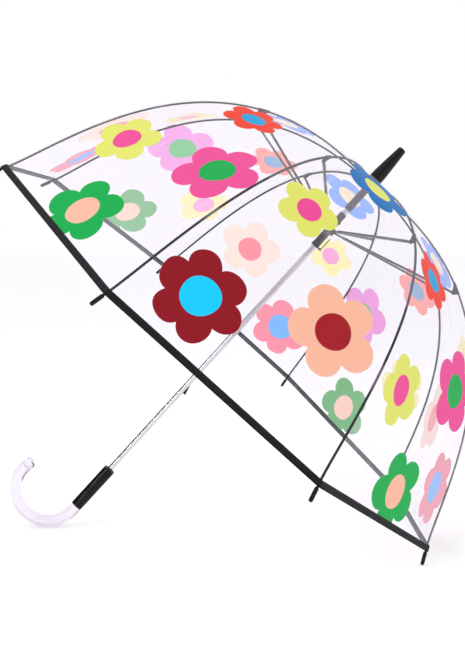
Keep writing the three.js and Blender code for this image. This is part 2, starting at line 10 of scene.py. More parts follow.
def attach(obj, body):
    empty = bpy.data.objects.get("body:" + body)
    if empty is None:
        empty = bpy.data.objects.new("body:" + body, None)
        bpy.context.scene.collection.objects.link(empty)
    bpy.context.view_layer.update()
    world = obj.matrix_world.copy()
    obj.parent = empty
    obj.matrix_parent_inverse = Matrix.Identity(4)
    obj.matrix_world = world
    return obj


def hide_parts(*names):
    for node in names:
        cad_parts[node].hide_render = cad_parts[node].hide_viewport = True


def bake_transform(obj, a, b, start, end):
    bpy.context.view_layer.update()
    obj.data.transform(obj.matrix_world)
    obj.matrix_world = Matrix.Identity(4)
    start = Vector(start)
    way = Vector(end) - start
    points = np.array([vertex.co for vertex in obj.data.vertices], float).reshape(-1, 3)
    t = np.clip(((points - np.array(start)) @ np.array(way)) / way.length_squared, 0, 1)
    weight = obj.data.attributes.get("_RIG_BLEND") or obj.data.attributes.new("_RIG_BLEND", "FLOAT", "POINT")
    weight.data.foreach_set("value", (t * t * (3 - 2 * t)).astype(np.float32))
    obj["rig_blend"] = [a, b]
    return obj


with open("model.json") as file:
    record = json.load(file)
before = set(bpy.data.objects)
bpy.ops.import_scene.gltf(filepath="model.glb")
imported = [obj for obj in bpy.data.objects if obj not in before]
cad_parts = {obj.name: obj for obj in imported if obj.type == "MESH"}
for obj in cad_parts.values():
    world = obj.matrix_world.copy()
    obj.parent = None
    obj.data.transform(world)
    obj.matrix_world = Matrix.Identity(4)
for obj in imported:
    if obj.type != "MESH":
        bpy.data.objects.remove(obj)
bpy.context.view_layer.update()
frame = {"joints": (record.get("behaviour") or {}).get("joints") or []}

# ---------------------------------------------------------------- shaft
# A drawn steel tube, bright nickel plated, that runs from the collar of the handle up into the
# ferrule. Two slots in its lower side let the catch springs come out. Everything is made about
# the shaft: z runs up it in mm from the level of the hem's corners, x points to the low side.
CROWN_HEIGHT = 282
SHAFT_RADIUS = 3.6
SHAFT_WALL = 0.8
SHAFT_FOOT = -281
SHAFT_HEAD = 302.5
SHAFT_CHAMFER = 0.1
SHAFT_LEAN = math.radians(42.3)  # from upright
SLOT_WIDTH = 2.5
BOTTOM_SLOT = (-81.4, -63.4)
TOP_SLOT = (209.4, 221.4)
MOULDING_CREASE = 35  # degrees; a sharper fold than this keeps its edge

joints = {joint["name"]: joint for joint in frame["joints"]}
rib_hinges = [Vector(joints[f"rib_hinge_{rib}"]["pos_m"]) for rib in range(1, 9)]
crown_centre = sum(rib_hinges, Vector()) / 8
shaft_up = -Vector(joints["runner_slide"]["axis"]).normalized()
low_side = ((rib_hinges[0] + rib_hinges[7]) / 2 - crown_centre).normalized()
far_side = shaft_up.cross(low_side)
stand = (
    Matrix.Translation(crown_centre)
    @ Matrix((low_side, far_side, shaft_up)).transposed().to_4x4()
    @ Matrix.Scale(0.001, 4)
    @ Matrix.Translation((0, 0, -CROWN_HEIGHT))
)


def colour(code):
    """An sRGB hex colour as the linear values that a material's sockets take."""
    parts = [int(code[i : i + 2], 16) / 255 for i in (1, 3, 5)]
    return [c / 12.92 if c <= 0.04045 else ((c + 0.055) / 1.055) ** 2.4 for c in parts] + [1]


def put(tree, kind, values=None, links=None, **settings):
    """Adds a node with its settings, its socket values and the sockets that feed it."""
    added = tree.nodes.new(kind)
    for name, value in settings.items():
        setattr(added, name, value)
    for name, value in (values or {}).items():
        added.inputs[name].default_value = value
    for name, source in (links or {}).items():
        tree.links.new(source, added.inputs[name])
    return added


def new_material(name):
    """An empty material, its node tree and its output node."""
    material = bpy.data.materials.new(name)
    material.use_nodes = True
    tree = material.node_tree
    tree.nodes.clear()
    return material, tree, put(tree, "ShaderNodeOutputMaterial")


def turned(profile, sides=64):
    """A round piece about the shaft. Its (radius, height) pairs close on themselves or on the axis."""
    points, faces, rings = [], [], []
    for radius, height in profile:
        if radius < 1e-6:
            rings.append([len(points)] * sides)
            points.append((0, 0, height))
            continue
        rings.append([len(points) + i for i in range(sides)])
        angles = (2 * math.pi * i / sides for i in range(sides))
        points += [(radius * math.cos(a), radius * math.sin(a), height) for a in angles]
    closed = profile[0][0] > 1e-6 and profile[-1][0] > 1e-6
    pairs = list(zip(rings, rings[1:] + rings[:1])) if closed else list(zip(rings, rings[1:]))
    for low, high in pairs:
        for i in range(sides):
            j = (i + 1) % sides
            corners = [low[i], low[j], high[j], high[i]]
            corners = [c for k, c in enumerate(corners) if c not in corners[:k]]
            if len(corners) > 2:
                faces.append(corners)
    return points, faces


def joined(*parts):
    """Several (points, faces) in one."""
    points, faces = [], []
    for part_points, part_faces in parts:
        faces += [[corner + len(points) for corner in face] for face in part_faces]
        points += [tuple(point) for point in part_points]
    return points, faces


def placed(name, data):
    """An object for a mesh, a lamp or a camera, in the scene."""
    made = bpy.data.objects.new(name, data)
    bpy.context.scene.collection.objects.link(made)
    return made


def piece(name, shape, material, sharp=MOULDING_CREASE):
    """A mesh object from a shape about the shaft, put where the umbrella stands, faces outward."""
    mesh = bpy.data.meshes.new(name)
    mesh.from_pydata([stand @ Vector(p) for p in shape[0]], [], shape[1])
    work = bmesh.new()
    work.from_mesh(mesh)
    bmesh.ops.recalc_face_normals(work, faces=work.faces)
    work.to_mesh(mesh)
    work.free()
    mesh.shade_smooth()
    mesh.set_sharp_from_angle(angle=math.radians(sharp))
    mesh.materials.append(material)
    return placed(name, mesh)


def settle(made):
    """Turns an object's modifiers into plain mesh."""
    graph = bpy.context.evaluated_depsgraph_get()
    mesh = bpy.data.meshes.new_from_object(made.evaluated_get(graph))
    made.modifiers.clear()
    made.data = mesh
    made.data.set_sharp_from_angle(angle=math.radians(MOULDING_CREASE))


def soften(made, width):
    """Rounds a piece's edges over, by a width in mm."""
    edge = made.modifiers.new("edge", "BEVEL")
    edge.width = width / 1000
    edge.segments = 2
    settle(made)


def cut_by(made, *cutters):
    """Cuts boxes or other closed shapes out of a piece."""
    tool = piece(made.name + "_cutter", joined(*cutters), made.data.materials[0])
    cut = made.modifiers.new("cut", "BOOLEAN")
    cut.operation = "DIFFERENCE"
    cut.solver = "EXACT"
    cut.use_self = True
    cut.object = tool
    settle(made)
    bpy.data.objects.remove(tool)


def block(low, high, turn=0):
    """A box between two corners, turned about the shaft by an angle in radians."""
    corners = [
        (x, y, z) for z in (low[2], high[2]) for y in (low[1], high[1]) for x in (low[0], high[0])
    ]
    c, s = math.cos(turn), math.sin(turn)
    corners = [(x * c - y * s, x * s + y * c, z) for x, y, z in corners]
    sides = [(0, 2, 3, 1), (4, 5, 7, 6), (0, 1, 5, 4), (2, 6, 7, 3), (0, 4, 6, 2), (1, 3, 7, 5)]
    return corners, sides


def slot_cutter(span, reach):
    """The cutter for a catch spring's slot, between two heights, out to a distance from the axis."""
    return block((1, -SLOT_WIDTH / 2, span[0]), (reach, SLOT_WIDTH / 2, span[1]))


def nickel_plate():
    """Bright nickel on drawn steel: mirror-like, with a faint fine grain left by the drawing die."""
    material, tree, out = new_material("nickel_plated_steel")
    place = put(tree, "ShaderNodeTexCoord").outputs["Object"]
    drawn = {"Rotation": (0, -SHAFT_LEAN, 0), "Scale": (20, 2500, 2500)}
    fine = put(tree, "ShaderNodeMapping", drawn, {"Vector": place})
    grain = put(tree, "ShaderNodeTexNoise", {"Scale": 1.0, "Detail": 3.0}, {"Vector": fine.outputs[0]})
    bump = put(tree, "ShaderNodeBump", {"Strength": 0.12, "Distance": 0.0001}, {"Height": grain.outputs[0]})
    polish = {"From Min": 0.3, "From Max": 0.7, "To Min": 0.09, "To Max": 0.2}
    rough = put(tree, "ShaderNodeMapRange", polish, {"Value": grain.outputs[0]})
    steel = put(tree, "ShaderNodeBsdfPrincipled", {"Base Color": colour("#D3D4D8"), "Metallic": 1.0},
                {"Roughness": rough.outputs[0], "Normal": bump.outputs[0]})
    tree.links.new(steel.outputs[0], out.inputs[0])
    return material


nickel = nickel_plate()
shaft_bore = SHAFT_RADIUS - SHAFT_WALL
shaft_rim = SHAFT_RADIUS - SHAFT_CHAMFER
tube = [(shaft_bore, SHAFT_FOOT), (shaft_rim, SHAFT_FOOT), (SHAFT_RADIUS, SHAFT_FOOT + 2 * SHAFT_CHAMFER),
        (SHAFT_RADIUS, SHAFT_HEAD - 2 * SHAFT_CHAMFER), (shaft_rim, SHAFT_HEAD), (shaft_bore, SHAFT_HEAD)]
shaft = piece("shaft_tube", turned(tube, 72), nickel)
cut_by(shaft, *[slot_cutter(span, SHAFT_RADIUS + 2.4) for span in (BOTTOM_SLOT, TOP_SLOT)])
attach(shaft, "shaft")
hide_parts("shaft")

# ---------------------------------------------------------------- catch springs
# Two blades of black spring steel bent over inside the shaft. Each stands out of its slot as a
# wedge, thin end first, and a finger presses it in to let the runner pass.
SPRING_WIDTH = 1.8
SPRING_INSIDE = 1.9  # how near to the shaft's axis a blade reaches
SPRING_REST = 3.2  # where its wedge starts, inside the slot

# for each spring: the height of its thin end, which way it rises, its length and its stand
SPRINGS = {
    "bottom_spring": (-64.1, -1, 16.0, 3.4),
    "top_spring": (210.0, 1, 10.0, 2.4),
}


def plate(outline, low, high):
    """A flat plate in the plane of the shaft, from its outline, between two distances across."""
    ring = [(x, low, z) for x, z in outline] + [(x, high, z) for x, z in outline]
    n = len(outline)
    faces = [list(range(n))[::-1], list(range(n, 2 * n))]
    faces += [(i, (i + 1) % n, n + (i + 1) % n, n + i) for i in range(n)]
    return ring, faces


def worn_black_steel():
    """Blued spring steel: dark, semi-bright, with rubbed streaks where the runner slides."""
    material, tree, out = new_material("blued_spring_steel")
    place = put(tree, "ShaderNodeTexCoord").outputs["Object"]
    rubs = put(tree, "ShaderNodeTexNoise", {"Scale": 900.0, "Detail": 4.0}, {"Vector": place})
    tone = put(tree, "ShaderNodeValToRGB", None, {"Fac": rubs.outputs[0]})
    tone.color_ramp.elements[0].position = 0.45
    tone.color_ramp.elements[0].color = colour("#161719")
    tone.color_ramp.elements[1].position = 0.8
    tone.color_ramp.elements[1].color = colour("#4A4C50")
    bump = put(tree, "ShaderNodeBump", {"Strength": 0.15, "Distance": 0.0001}, {"Height": rubs.outputs[0]})
    steel = put(tree, "ShaderNodeBsdfPrincipled", {"Metallic": 0.7, "Roughness": 0.35},
                {"Base Color": tone.outputs[0], "Normal": bump.outputs[0]})
    tree.links.new(steel.outputs[0], out.inputs[0])
    return material


blued = worn_black_steel()
for name, (thin_end, way, length, rise) in SPRINGS.items():
    crest = SHAFT_RADIUS + rise
    slope = [(SPRING_INSIDE, 0), (SPRING_REST, 0)]
    for k in range(1, 7):
        out = SPRING_REST + (crest - SPRING_REST) * k / 6
        slope.append((out, (length - 1.6) * (k / 6) ** 0.92))
    slope += [(crest - 0.15, length - 0.8), (crest - 0.5, length), (SPRING_INSIDE, length)]
    outline = [(x, thin_end + way * z) for x, z in slope]
    spring = piece(name + "_blade", plate(outline, -SPRING_WIDTH / 2, SPRING_WIDTH / 2), blued)
    soften(spring, 0.25)
    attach(spring, name)
    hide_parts(name)

# ---------------------------------------------------------------- crown
# The notched cap that the ribs hang from, a moulded ring with a long barrel pressed on the
# shaft. Eight tongues sit in its notches on a ring of wire, and a washer above clamps the film.
CROWN_PIVOT = 6.65
CROWN_TOP = CROWN_HEIGHT + 1.75
CROWN_FLANGE = 8.85
BARREL_RADIUS = 4.9
BARREL_FOOT = CROWN_HEIGHT - 44
BORE = 3.9
WIRE_RADIUS = 0.5
WIRE_GROOVE = 0.8
NOTCH = 1.8
RIBS = range(1, 9)
RIB_STEP = math.pi / 4


def rib_turn(number):
    """The azimuth of a rib about the shaft."""
    return (number - 0.5) * RIB_STEP


def moulded(name, hex_code, roughness, grain_mm, depth, shine=0.5):
    """Moulded plastic: even colour, with the fine texture of its mould and a soft gloss."""
    material, tree, out = new_material(name)
    place = put(tree, "ShaderNodeTexCoord").outputs["Object"]
    grain = put(tree, "ShaderNodeTexNoise", {"Scale": 1000 / grain_mm, "Detail": 2.0}, {"Vector": place})
    flow = put(tree, "ShaderNodeTexNoise", {"Scale": 60.0, "Detail": 3.0}, {"Vector": place})
    tones = {"From Min": 0.3, "From Max": 0.7, "To Min": 0.85, "To Max": 1.2}
    tone = put(tree, "ShaderNodeMapRange", tones, {"Value": flow.outputs[0]})
    base = put(tree, "ShaderNodeMix", {"Factor": 1.0, "A": colour(hex_code)}, {"B": tone.outputs[0]},
               data_type="RGBA", blend_type="MULTIPLY")
    gloss = {"From Min": 0.3, "From Max": 0.7, "To Min": roughness * 0.8, "To Max": roughness * 1.25}
    rough = put(tree, "ShaderNodeMapRange", gloss, {"Value": flow.outputs[0]})
    bump = put(tree, "ShaderNodeBump", {"Strength": depth, "Distance": 0.0001},
               {"Height": grain.outputs[0]})
    plastic = put(tree, "ShaderNodeBsdfPrincipled", {"IOR": 1.49, "Specular IOR Level": shine},
                  {"Base Color": base.outputs["Result"], "Roughness": rough.outputs[0],
                   "Normal": bump.outputs[0]})
    tree.links.new(plastic.outputs[0], out.inputs[0])
    return material


def wire_ring(radius, height):
    """A ring of round wire about the shaft."""
    angles = (math.pi * k / 6 for k in range(12))
    return turned([(radius + WIRE_RADIUS * math.cos(a), height + WIRE_RADIUS * math.sin(a)) for a in angles])


def notches(inner, outer, low, high):
    """The cutters for eight notches, one for each rib."""
    return [block((inner, -NOTCH / 2, low), (outer, NOTCH / 2, high), rib_turn(rib)) for rib in RIBS]


dark_moulding = moulded("glass_filled_nylon", "#45494A", 0.42, 0.35, 0.2)
groove_out = CROWN_PIVOT + WIRE_GROOVE
groove_in = CROWN_PIVOT - WIRE_GROOVE
groove_foot = CROWN_HEIGHT - WIRE_GROOVE
cap = [(BORE, BARREL_FOOT), (BARREL_RADIUS - 0.3, BARREL_FOOT), (BARREL_RADIUS, BARREL_FOOT + 0.4),
       (BARREL_RADIUS, CROWN_HEIGHT - 2.5), (CROWN_FLANGE - 0.4, CROWN_HEIGHT - 2.5),
       (CROWN_FLANGE, CROWN_HEIGHT - 2.1), (CROWN_FLANGE, CROWN_TOP - 0.3), (CROWN_FLANGE - 0.3, CROWN_TOP),
       (groove_out, CROWN_TOP), (groove_out, groove_foot), (groove_in, groove_foot), (groove_in, CROWN_TOP),
       (BORE, CROWN_TOP)]
crown = piece("crown_cap", turned(cap), dark_moulding)
cut_by(crown, *notches(BARREL_RADIUS, CROWN_FLANGE + 1, CROWN_HEIGHT - 3.5, CROWN_TOP + 1))
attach(crown, "shaft")
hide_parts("crown")
crown_wire = piece("crown_hinge_wire", wire_ring(CROWN_PIVOT, CROWN_HEIGHT), nickel)
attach(crown_wire, "shaft")
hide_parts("crown_wire")

# ---------------------------------------------------------------- ferrule and washer
# The black point screwed on over the end of the shaft. It tapers from the washer, which presses
# the film against the crown, up to a rounded end.
FERRULE_FOOT = 287.5
FERRULE_TIP = 341.2
black_gloss = moulded("black_ABS", "#0C0C0E", 0.24, 0.5, 0.05, 0.25)
WASHER_FOOT = CROWN_TOP + 0.3
WASHER_PLATE = FERRULE_FOOT - 1.5
washer = [(BORE, WASHER_FOOT), (CROWN_FLANGE - 0.3, WASHER_FOOT), (CROWN_FLANGE - 0.3, WASHER_PLATE),
          (11.6, WASHER_PLATE), (12, WASHER_PLATE + 0.35), (11.8, WASHER_PLATE + 0.8),
          (11, WASHER_PLATE + 1.1), (BORE, WASHER_PLATE + 1.2)]
washer_disc = piece("crown_washer_disc", turned(washer), black_gloss)
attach(washer_disc, "shaft")
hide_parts("crown_washer")

point = [(0, SHAFT_HEAD + 0.3), (BORE, SHAFT_HEAD + 0.3), (BORE, FERRULE_FOOT), (8.3, FERRULE_FOOT),
         (8.7, FERRULE_FOOT + 0.3), (8.85, FERRULE_FOOT + 1)]
point += [(8.85 - 3.35 * (k / 8) ** 1.15, FERRULE_FOOT + 9 + 41 * k / 8) for k in range(9)]
point += [(5.35, FERRULE_TIP - 1.9), (4.9, FERRULE_TIP - 0.9), (4.1, FERRULE_TIP - 0.25),
          (3.2, FERRULE_TIP), (0, FERRULE_TIP)]
ferrule = piece("ferrule_point", turned(point), black_gloss, 40)
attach(ferrule, "shaft")
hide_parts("ferrule")

# ---------------------------------------------------------------- runner
# The moulded sleeve that slides on the shaft. The stretchers hang on a wire in its notched
# ring, its neck locks over the top spring, and the guard below keeps a finger off the stretchers.
RUNNER_RING = 204
RUNNER_PIVOT = 6.1
RING_RADIUS = 8.2
SLEEVE_RADIUS = 5.15
NECK_RADIUS = 4.85
RUNNER_TRAVEL = joints["runner_slide"]["range_m"][1] * 1000
runner_plastic = moulded("runner_nylon", "#2F3233", 0.38, 0.35, 0.2)
foot = RUNNER_RING - 28
head = RUNNER_RING + 27
ring_low = RUNNER_RING - 4.5
ring_high = RUNNER_RING + 4.5
sleeve = [(BORE, foot), (SLEEVE_RADIUS + 0.3, foot), (SLEEVE_RADIUS + 0.5, foot + 0.2),
          (SLEEVE_RADIUS + 0.5, foot + 2), (SLEEVE_RADIUS, foot + 3), (SLEEVE_RADIUS, ring_low),
          (RING_RADIUS - 0.4, ring_low), (RING_RADIUS, ring_low + 0.4), (RING_RADIUS, ring_high - 0.4),
          (RING_RADIUS - 0.4, ring_high), (RUNNER_PIVOT + WIRE_GROOVE, ring_high),
          (RUNNER_PIVOT + WIRE_GROOVE, RUNNER_RING - WIRE_GROOVE),
          (RUNNER_PIVOT - WIRE_GROOVE, RUNNER_RING - WIRE_GROOVE),
          (RUNNER_PIVOT - WIRE_GROOVE, ring_high), (NECK_RADIUS, ring_high), (NECK_RADIUS, head - 0.4),
          (NECK_RADIUS - 0.2, head), (BORE, head)]
runner = piece("runner_sleeve", turned(sleeve), runner_plastic)
window = (BOTTOM_SLOT[0] + RUNNER_TRAVEL, BOTTOM_SLOT[1] + RUNNER_TRAVEL)
cut_by(
    runner,
    slot_cutter(window, 7.6),
    slot_cutter(TOP_SLOT, 9.8),
    *notches(SLEEVE_RADIUS + 0.1, RING_RADIUS + 1, ring_low - 0.5, ring_high + 0.5),
)
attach(runner, "runner")
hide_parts("runner")
guard_root = SLEEVE_RADIUS - 0.5
guard_side = [(guard_root, foot), (9.5, foot), (9.8, foot + 0.4), (9.8, foot + 15), (9.6, foot + 19),
              (9.0, foot + 20), (8.7, foot + 19.4), (8.6, foot + 15), (8.6, foot + 3.4),
              (8.0, foot + 2.2), (guard_root, foot + 2)]
guard = piece("runner_finger_guard", plate(guard_side, -1.5, 1.5), runner_plastic)
soften(guard, 0.3)
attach(guard, "runner")
runner_wire = piece("runner_hinge_wire", wire_ring(RUNNER_PIVOT, RUNNER_RING), nickel)
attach(runner_wire, "runner")
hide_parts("runner_wire")

# ---------------------------------------------------------------- ribs and stretchers
# Spring steel strip folded into a narrow channel, open towards the inside. The ribs are lacquered
# black and their stretchers plated grey. Each long rib bends at a riveted bracket, where the flat
# eye of its stretcher is pinned.
HEM_RADIUS = 355
CROWN_HANDLE = 267
CROWN_RISE = math.radians(2.7)
HEM_HANDLE = 76
HEM_SLOPE = math.radians(62.6)
CHANNEL_WIDTH = 2.2
CHANNEL_HEIGHT = 2.0
CHANNEL_WALL = 0.35
FOLD_RADIUS = 0.35
STRETCHER_WIDTH = 2.8
STRETCHER_HEIGHT = 2.6
TONGUE = 0.8
TONGUE_RADIUS = 1.0
PIN_RADIUS = 0.6
BRACKET_ALONG = 174
BEND_CLEAR = 4

# a rib's curve, as distance from the shaft against height
curve_ends = np.array([(CROWN_PIVOT, CROWN_HEIGHT), (HEM_RADIUS, 0)], float)
crown_pull = curve_ends[0] + CROWN_HANDLE * np.array([math.cos(CROWN_RISE), math.sin(CROWN_RISE)])
hem_pull = curve_ends[1] + HEM_HANDLE * np.array([-math.cos(HEM_SLOPE), math.sin(HEM_SLOPE)])
share = np.linspace(0, 1, 801)[:, None]
rib_curve = (
    (1 - share) ** 3 * curve_ends[0]
    + 3 * (1 - share) ** 2 * share * crown_pull
    + 3 * (1 - share) * share**2 * hem_pull
    + share**3 * curve_ends[1]
)
rib_reach = np.concatenate([[0], np.cumsum(np.linalg.norm(np.diff(rib_curve, axis=0), axis=1))])
RIB_LENGTH = rib_reach[-1]


def along_rib(distance, lift=0.0):
    """The point a distance along the rib's curve, straight on past its end, lifted outward from it."""
    distance = np.asarray(distance, float)
    point = np.stack([np.interp(distance, rib_reach, rib_curve[:, i]) for i in (0, 1)], -1)
    low, high = np.clip(distance - 1, 0, RIB_LENGTH - 1), np.clip(distance + 1, 1, RIB_LENGTH)
    ahead = np.stack([np.interp(high, rib_reach, rib_curve[:, i]) for i in (0, 1)], -1)
    behind = np.stack([np.interp(low, rib_reach, rib_curve[:, i]) for i in (0, 1)], -1)
    way = ahead - behind
    way = way / np.linalg.norm(way, axis=-1, keepdims=True)
    point = point + way * np.maximum(distance - RIB_LENGTH, 0)[..., None]
    return point + np.stack([-way[..., 1], way[..., 0]], -1) * np.asarray(lift)[..., None]


def skin(rows, count):
    """The faces between rows of points that each run once round a section."""
    faces = []
    for start in range(0, (rows - 1) * count, count):
        for k in range(count):
            following = (k + 1) % count
            faces.append((start + k, start + following, start + count + following, start + count + k))
    return faces


def channel(path, height, width):
    """A folded channel along a path in the plane of the shaft, its web outward and its lips inside."""
    path = np.asarray(path, float)
    way = np.gradient(path, axis=0)
    way /= np.linalg.norm(way, axis=1, keepdims=True)
    out = np.stack([-way[:, 1], way[:, 0]], -1)
    side, top, wall, r = width / 2, height / 2, CHANNEL_WALL, FOLD_RADIUS
    section = [(-side + 0.1, -top), (-side, -top + 0.1), (-side, top - r), (-side + r * 0.3, top - r * 0.3),
               (-side + r, top), (side - r, top), (side - r * 0.3, top - r * 0.3), (side, top - r),
               (side, -top + 0.1), (side - 0.1, -top), (side - wall, -top), (side - wall, top - wall),
               (-side + wall, top - wall), (-side + wall, -top)]
    points, n = [], len(section)
    for centre, up in zip(path, out):
        points += [(centre[0] + up[0] * lift, across, centre[1] + up[1] * lift) for across, lift in section]
    faces = skin(len(path), n)
    for first in (0, (len(path) - 1) * n):
        faces += [[first + i for i in (0, 1, 2, 12, 13)], [first + i for i in (2, 3, 4, 5, 6, 7, 11, 12)],
                  [first + i for i in (7, 8, 9, 10, 11)]]
    return points, faces


def eye(centre, towards, radius):
    """A flat tongue with a round end, from its eye's centre towards another point."""
    way = np.subtract(towards, centre)
    reach, turn = np.linalg.norm(way), math.atan2(way[1], way[0])
    outline = [(radius * math.cos(a), radius * math.sin(a))
               for a in (math.pi / 2 + math.pi * k / 10 for k in range(11))]
    outline += [(reach, -radius), (reach, radius)]
    c, s = math.cos(turn), math.sin(turn)
    ends = [(centre[0] + x * c - z * s, centre[1] + x * s + z * c) for x, z in outline]
    return plate(ends, -TONGUE / 2, TONGUE / 2)


def rivet(centre, radius, half_width, head=0.45):
    """A pin across the rib with a low domed head on each side."""
    profile = [(0, -half_width - head), (radius * 0.9, -half_width - head * 0.75),
               (radius * 1.45, -half_width - head * 0.25), (radius * 1.55, -half_width),
               (radius, -half_width), (radius, half_width), (radius * 1.55, half_width),
               (radius * 1.45, half_width + head * 0.25), (radius * 0.9, half_width + head * 0.75),
               (0, half_width + head)]
    points, faces = turned(profile, 14)
    return [(centre[0] + x, z, centre[1] + y) for x, y, z in points], faces


def at_rib(shape, number):
    """A shape made in the plane of the shaft, turned to its rib's place."""
    c, s = math.cos(rib_turn(number)), math.sin(rib_turn(number))
    return [(x * c - y * s, x * s + y * c, z) for x, y, z in shape[0]], shape[1]


def coated_steel(name, dark, light, metallic, shine):
    """Spring steel with a thin coat, half bright and a little uneven where it was folded."""
    material, tree, out = new_material(name)
    place = put(tree, "ShaderNodeTexCoord").outputs["Object"]
    cloud = put(tree, "ShaderNodeTexNoise", {"Scale": 45.0, "Detail": 4.0}, {"Vector": place})
    speck = put(tree, "ShaderNodeTexNoise", {"Scale": 1400.0, "Detail": 2.0}, {"Vector": place})
    tone = put(tree, "ShaderNodeValToRGB", None, {"Fac": cloud.outputs[0]})
    tone.color_ramp.elements[0].position = 0.35
    tone.color_ramp.elements[0].color = colour(dark)
    tone.color_ramp.elements[1].position = 0.7
    tone.color_ramp.elements[1].color = colour(light)
    rough = put(tree, "ShaderNodeMapRange", {"To Min": 0.3, "To Max": 0.46}, {"Value": speck.outputs[0]})
    bump = put(tree, "ShaderNodeBump", {"Strength": 0.1, "Distance": 0.0001}, {"Height": speck.outputs[0]})
    steel = put(tree, "ShaderNodeBsdfPrincipled", {"Metallic": metallic, "Specular IOR Level": shine},
                {"Base Color": tone.outputs[0], "Roughness": rough.outputs[0], "Normal": bump.outputs[0]})
    tree.links.new(steel.outputs[0], out.inputs[0])
    return material


rib_steel = coated_steel("black_lacquered_steel", "#101113", "#1B1D1F", 0.0, 0.25)
stay_steel = coated_steel("grey_nickelled_steel", "#3E4648", "#565F61", 0.6, 0.5)
bracket = along_rib(BRACKET_ALONG)
bracket_way = along_rib(BRACKET_ALONG + 1) - bracket
bracket_way /= np.linalg.norm(bracket_way)
stretcher_pin = along_rib(BRACKET_ALONG - 1, -5.5)
runner_eye = np.array([RUNNER_PIVOT, RUNNER_RING])
crown_eye = curve_ends[0]


def by_bracket(points):
    """Points given along the rib and outward from the bend's axis, in the plane of the shaft."""
    out = np.array([-bracket_way[1], bracket_way[0]])
    return [tuple(bracket + bracket_way * x + out * z) for x, z in points]


cheek = by_bracket([(-12, 1.3), (-10, 1.55), (1.6, 1.55), (2.6, 1.1), (3, 0.3), (2.9, -1.4), (2.1, -3.4),
                    (1.4, -6.1), (0.7, -7.2), (-0.6, -7.75), (-1.9, -7.5), (-2.9, -6.7), (-3.6, -5.4),
                    (-6, -3.2), (-11, -1.25), (-12, -1.1)])
inner_side, outer_side = TONGUE / 2 + 0.35, CHANNEL_WIDTH / 2 + 0.12
upper_path = along_rib(np.linspace(4.2, BRACKET_ALONG - BEND_CLEAR, 34))
lower_path = along_rib(np.linspace(BRACKET_ALONG + BEND_CLEAR + 0.8, RIB_LENGTH - 3, 56))
upper_shape = joined(
    channel(upper_path, CHANNEL_HEIGHT, CHANNEL_WIDTH),
    eye(crown_eye, along_rib(7.5), TONGUE_RADIUS),
    plate(cheek, inner_side, outer_side),
    plate(cheek, -outer_side, -inner_side),
    rivet(bracket, PIN_RADIUS, outer_side),
    rivet(stretcher_pin, PIN_RADIUS, outer_side),
)
hem_way = along_rib(RIB_LENGTH) - along_rib(RIB_LENGTH - 1)
hem_way /= np.linalg.norm(hem_way)
hem_out = np.array([-hem_way[1], hem_way[0]])
peg_axis = along_rib(RIB_LENGTH, 0.3)
lower_shape = joined(
    channel(lower_path, CHANNEL_HEIGHT, CHANNEL_WIDTH),
    eye(bracket, along_rib(BRACKET_ALONG + 9), TONGUE_RADIUS),
)
pull = (runner_eye - stretcher_pin) / np.linalg.norm(runner_eye - stretcher_pin)
stretcher_length = np.linalg.norm(runner_eye - stretcher_pin)
strut = [stretcher_pin + pull * d for d in np.linspace(4.6, stretcher_length - 18, 4)]
stretcher_shape = joined(
    channel(strut, STRETCHER_HEIGHT, STRETCHER_WIDTH),
    eye(stretcher_pin, stretcher_pin + pull * 9, 1.3),
    eye(runner_eye - pull * 1.9, runner_eye - pull * 22, 0.9),
)
for rib in RIBS:
    upper = piece(f"rib_upper_{rib}_channel", at_rib(upper_shape, rib), rib_steel)
    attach(upper, f"rib_upper_{rib}")
    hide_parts(f"rib_upper_{rib}")
    lower = piece(f"rib_lower_{rib}_channel", at_rib(lower_shape, rib), rib_steel)
    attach(lower, f"rib_lower_{rib}")
    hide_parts(f"rib_lower_{rib}")
    stay = piece(f"stretcher_{rib}_channel", at_rib(stretcher_shape, rib), stay_steel)
    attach(stay, f"stretcher_{rib}")
    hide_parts(f"stretcher_{rib}")

# ---------------------------------------------------------------- rib tips
# Black moulded tips pushed on the ribs' ends past the hem. Each has a rounded end, and a thinner
# neck where the hem's corner passes over it.
TIP_LENGTH = 21
tip_profile = [(0, -4), (1.1, -4), (1.3, -3.6), (1.3, 4.6), (1.5, 5.2), (2.0, 5.8), (2.25, 6.6), (2.3, 8),
               (2.3, 17.6), (2.25, 19), (2.0, 20.1), (1.4, 20.8), (0.6, TIP_LENGTH), (0, TIP_LENGTH)]
points, tip_faces = turned(tip_profile, 32)
tip_points = []
for x, y, z in points:
    spot = peg_axis + hem_way * z + hem_out * x
    tip_points.append((spot[0], y, spot[1]))
tip_shape = (tip_points, tip_faces)
for rib in RIBS:
    tip = piece(f"rib_tip_{rib}_cap", at_rib(tip_shape, rib), black_gloss)
    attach(tip, f"rib_lower_{rib}")
    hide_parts(f"rib_tip_{rib}")

# ---------------------------------------------------------------- clear film
# Soft clear plastic film, 0.25 mm thick, cut as eight gores and welded along the ribs. It is
# screen printed outside with big paper-cut flowers; from inside their colours are painted paler, with the
# daylight shining through the ink from behind painted in.
FILM_LIFT = 2.2
FILM = 0.25
FILM_START = 3.3
GORE_SAG = 2.2  # mm that a taut gore pulls in, half way between its ribs
HALF_GORE = RIB_STEP / 2
PAINTED_GLOW_INSIDE = 0.13  # strength of a painted glow on the film's inside, standing in for daylight through the thin print
INK_COVER = {"outside": 0.985, "inside": 0.94}  # how much the print hides of what is behind it
ACROSS = 20
HEM_PAST = 4.2  # the film runs on past the ribs' ends, over the necks of the tips
FILM_CREASE = 60
INK_EDGE = 0.35  # mm over which the ink's edge fades
FLOWER_CORE = 0.58  # radius of the disc that joins the petals, as a share of the flower's
FLOWER_HEART = 0.41  # radius of its heart, as a share of the flower's


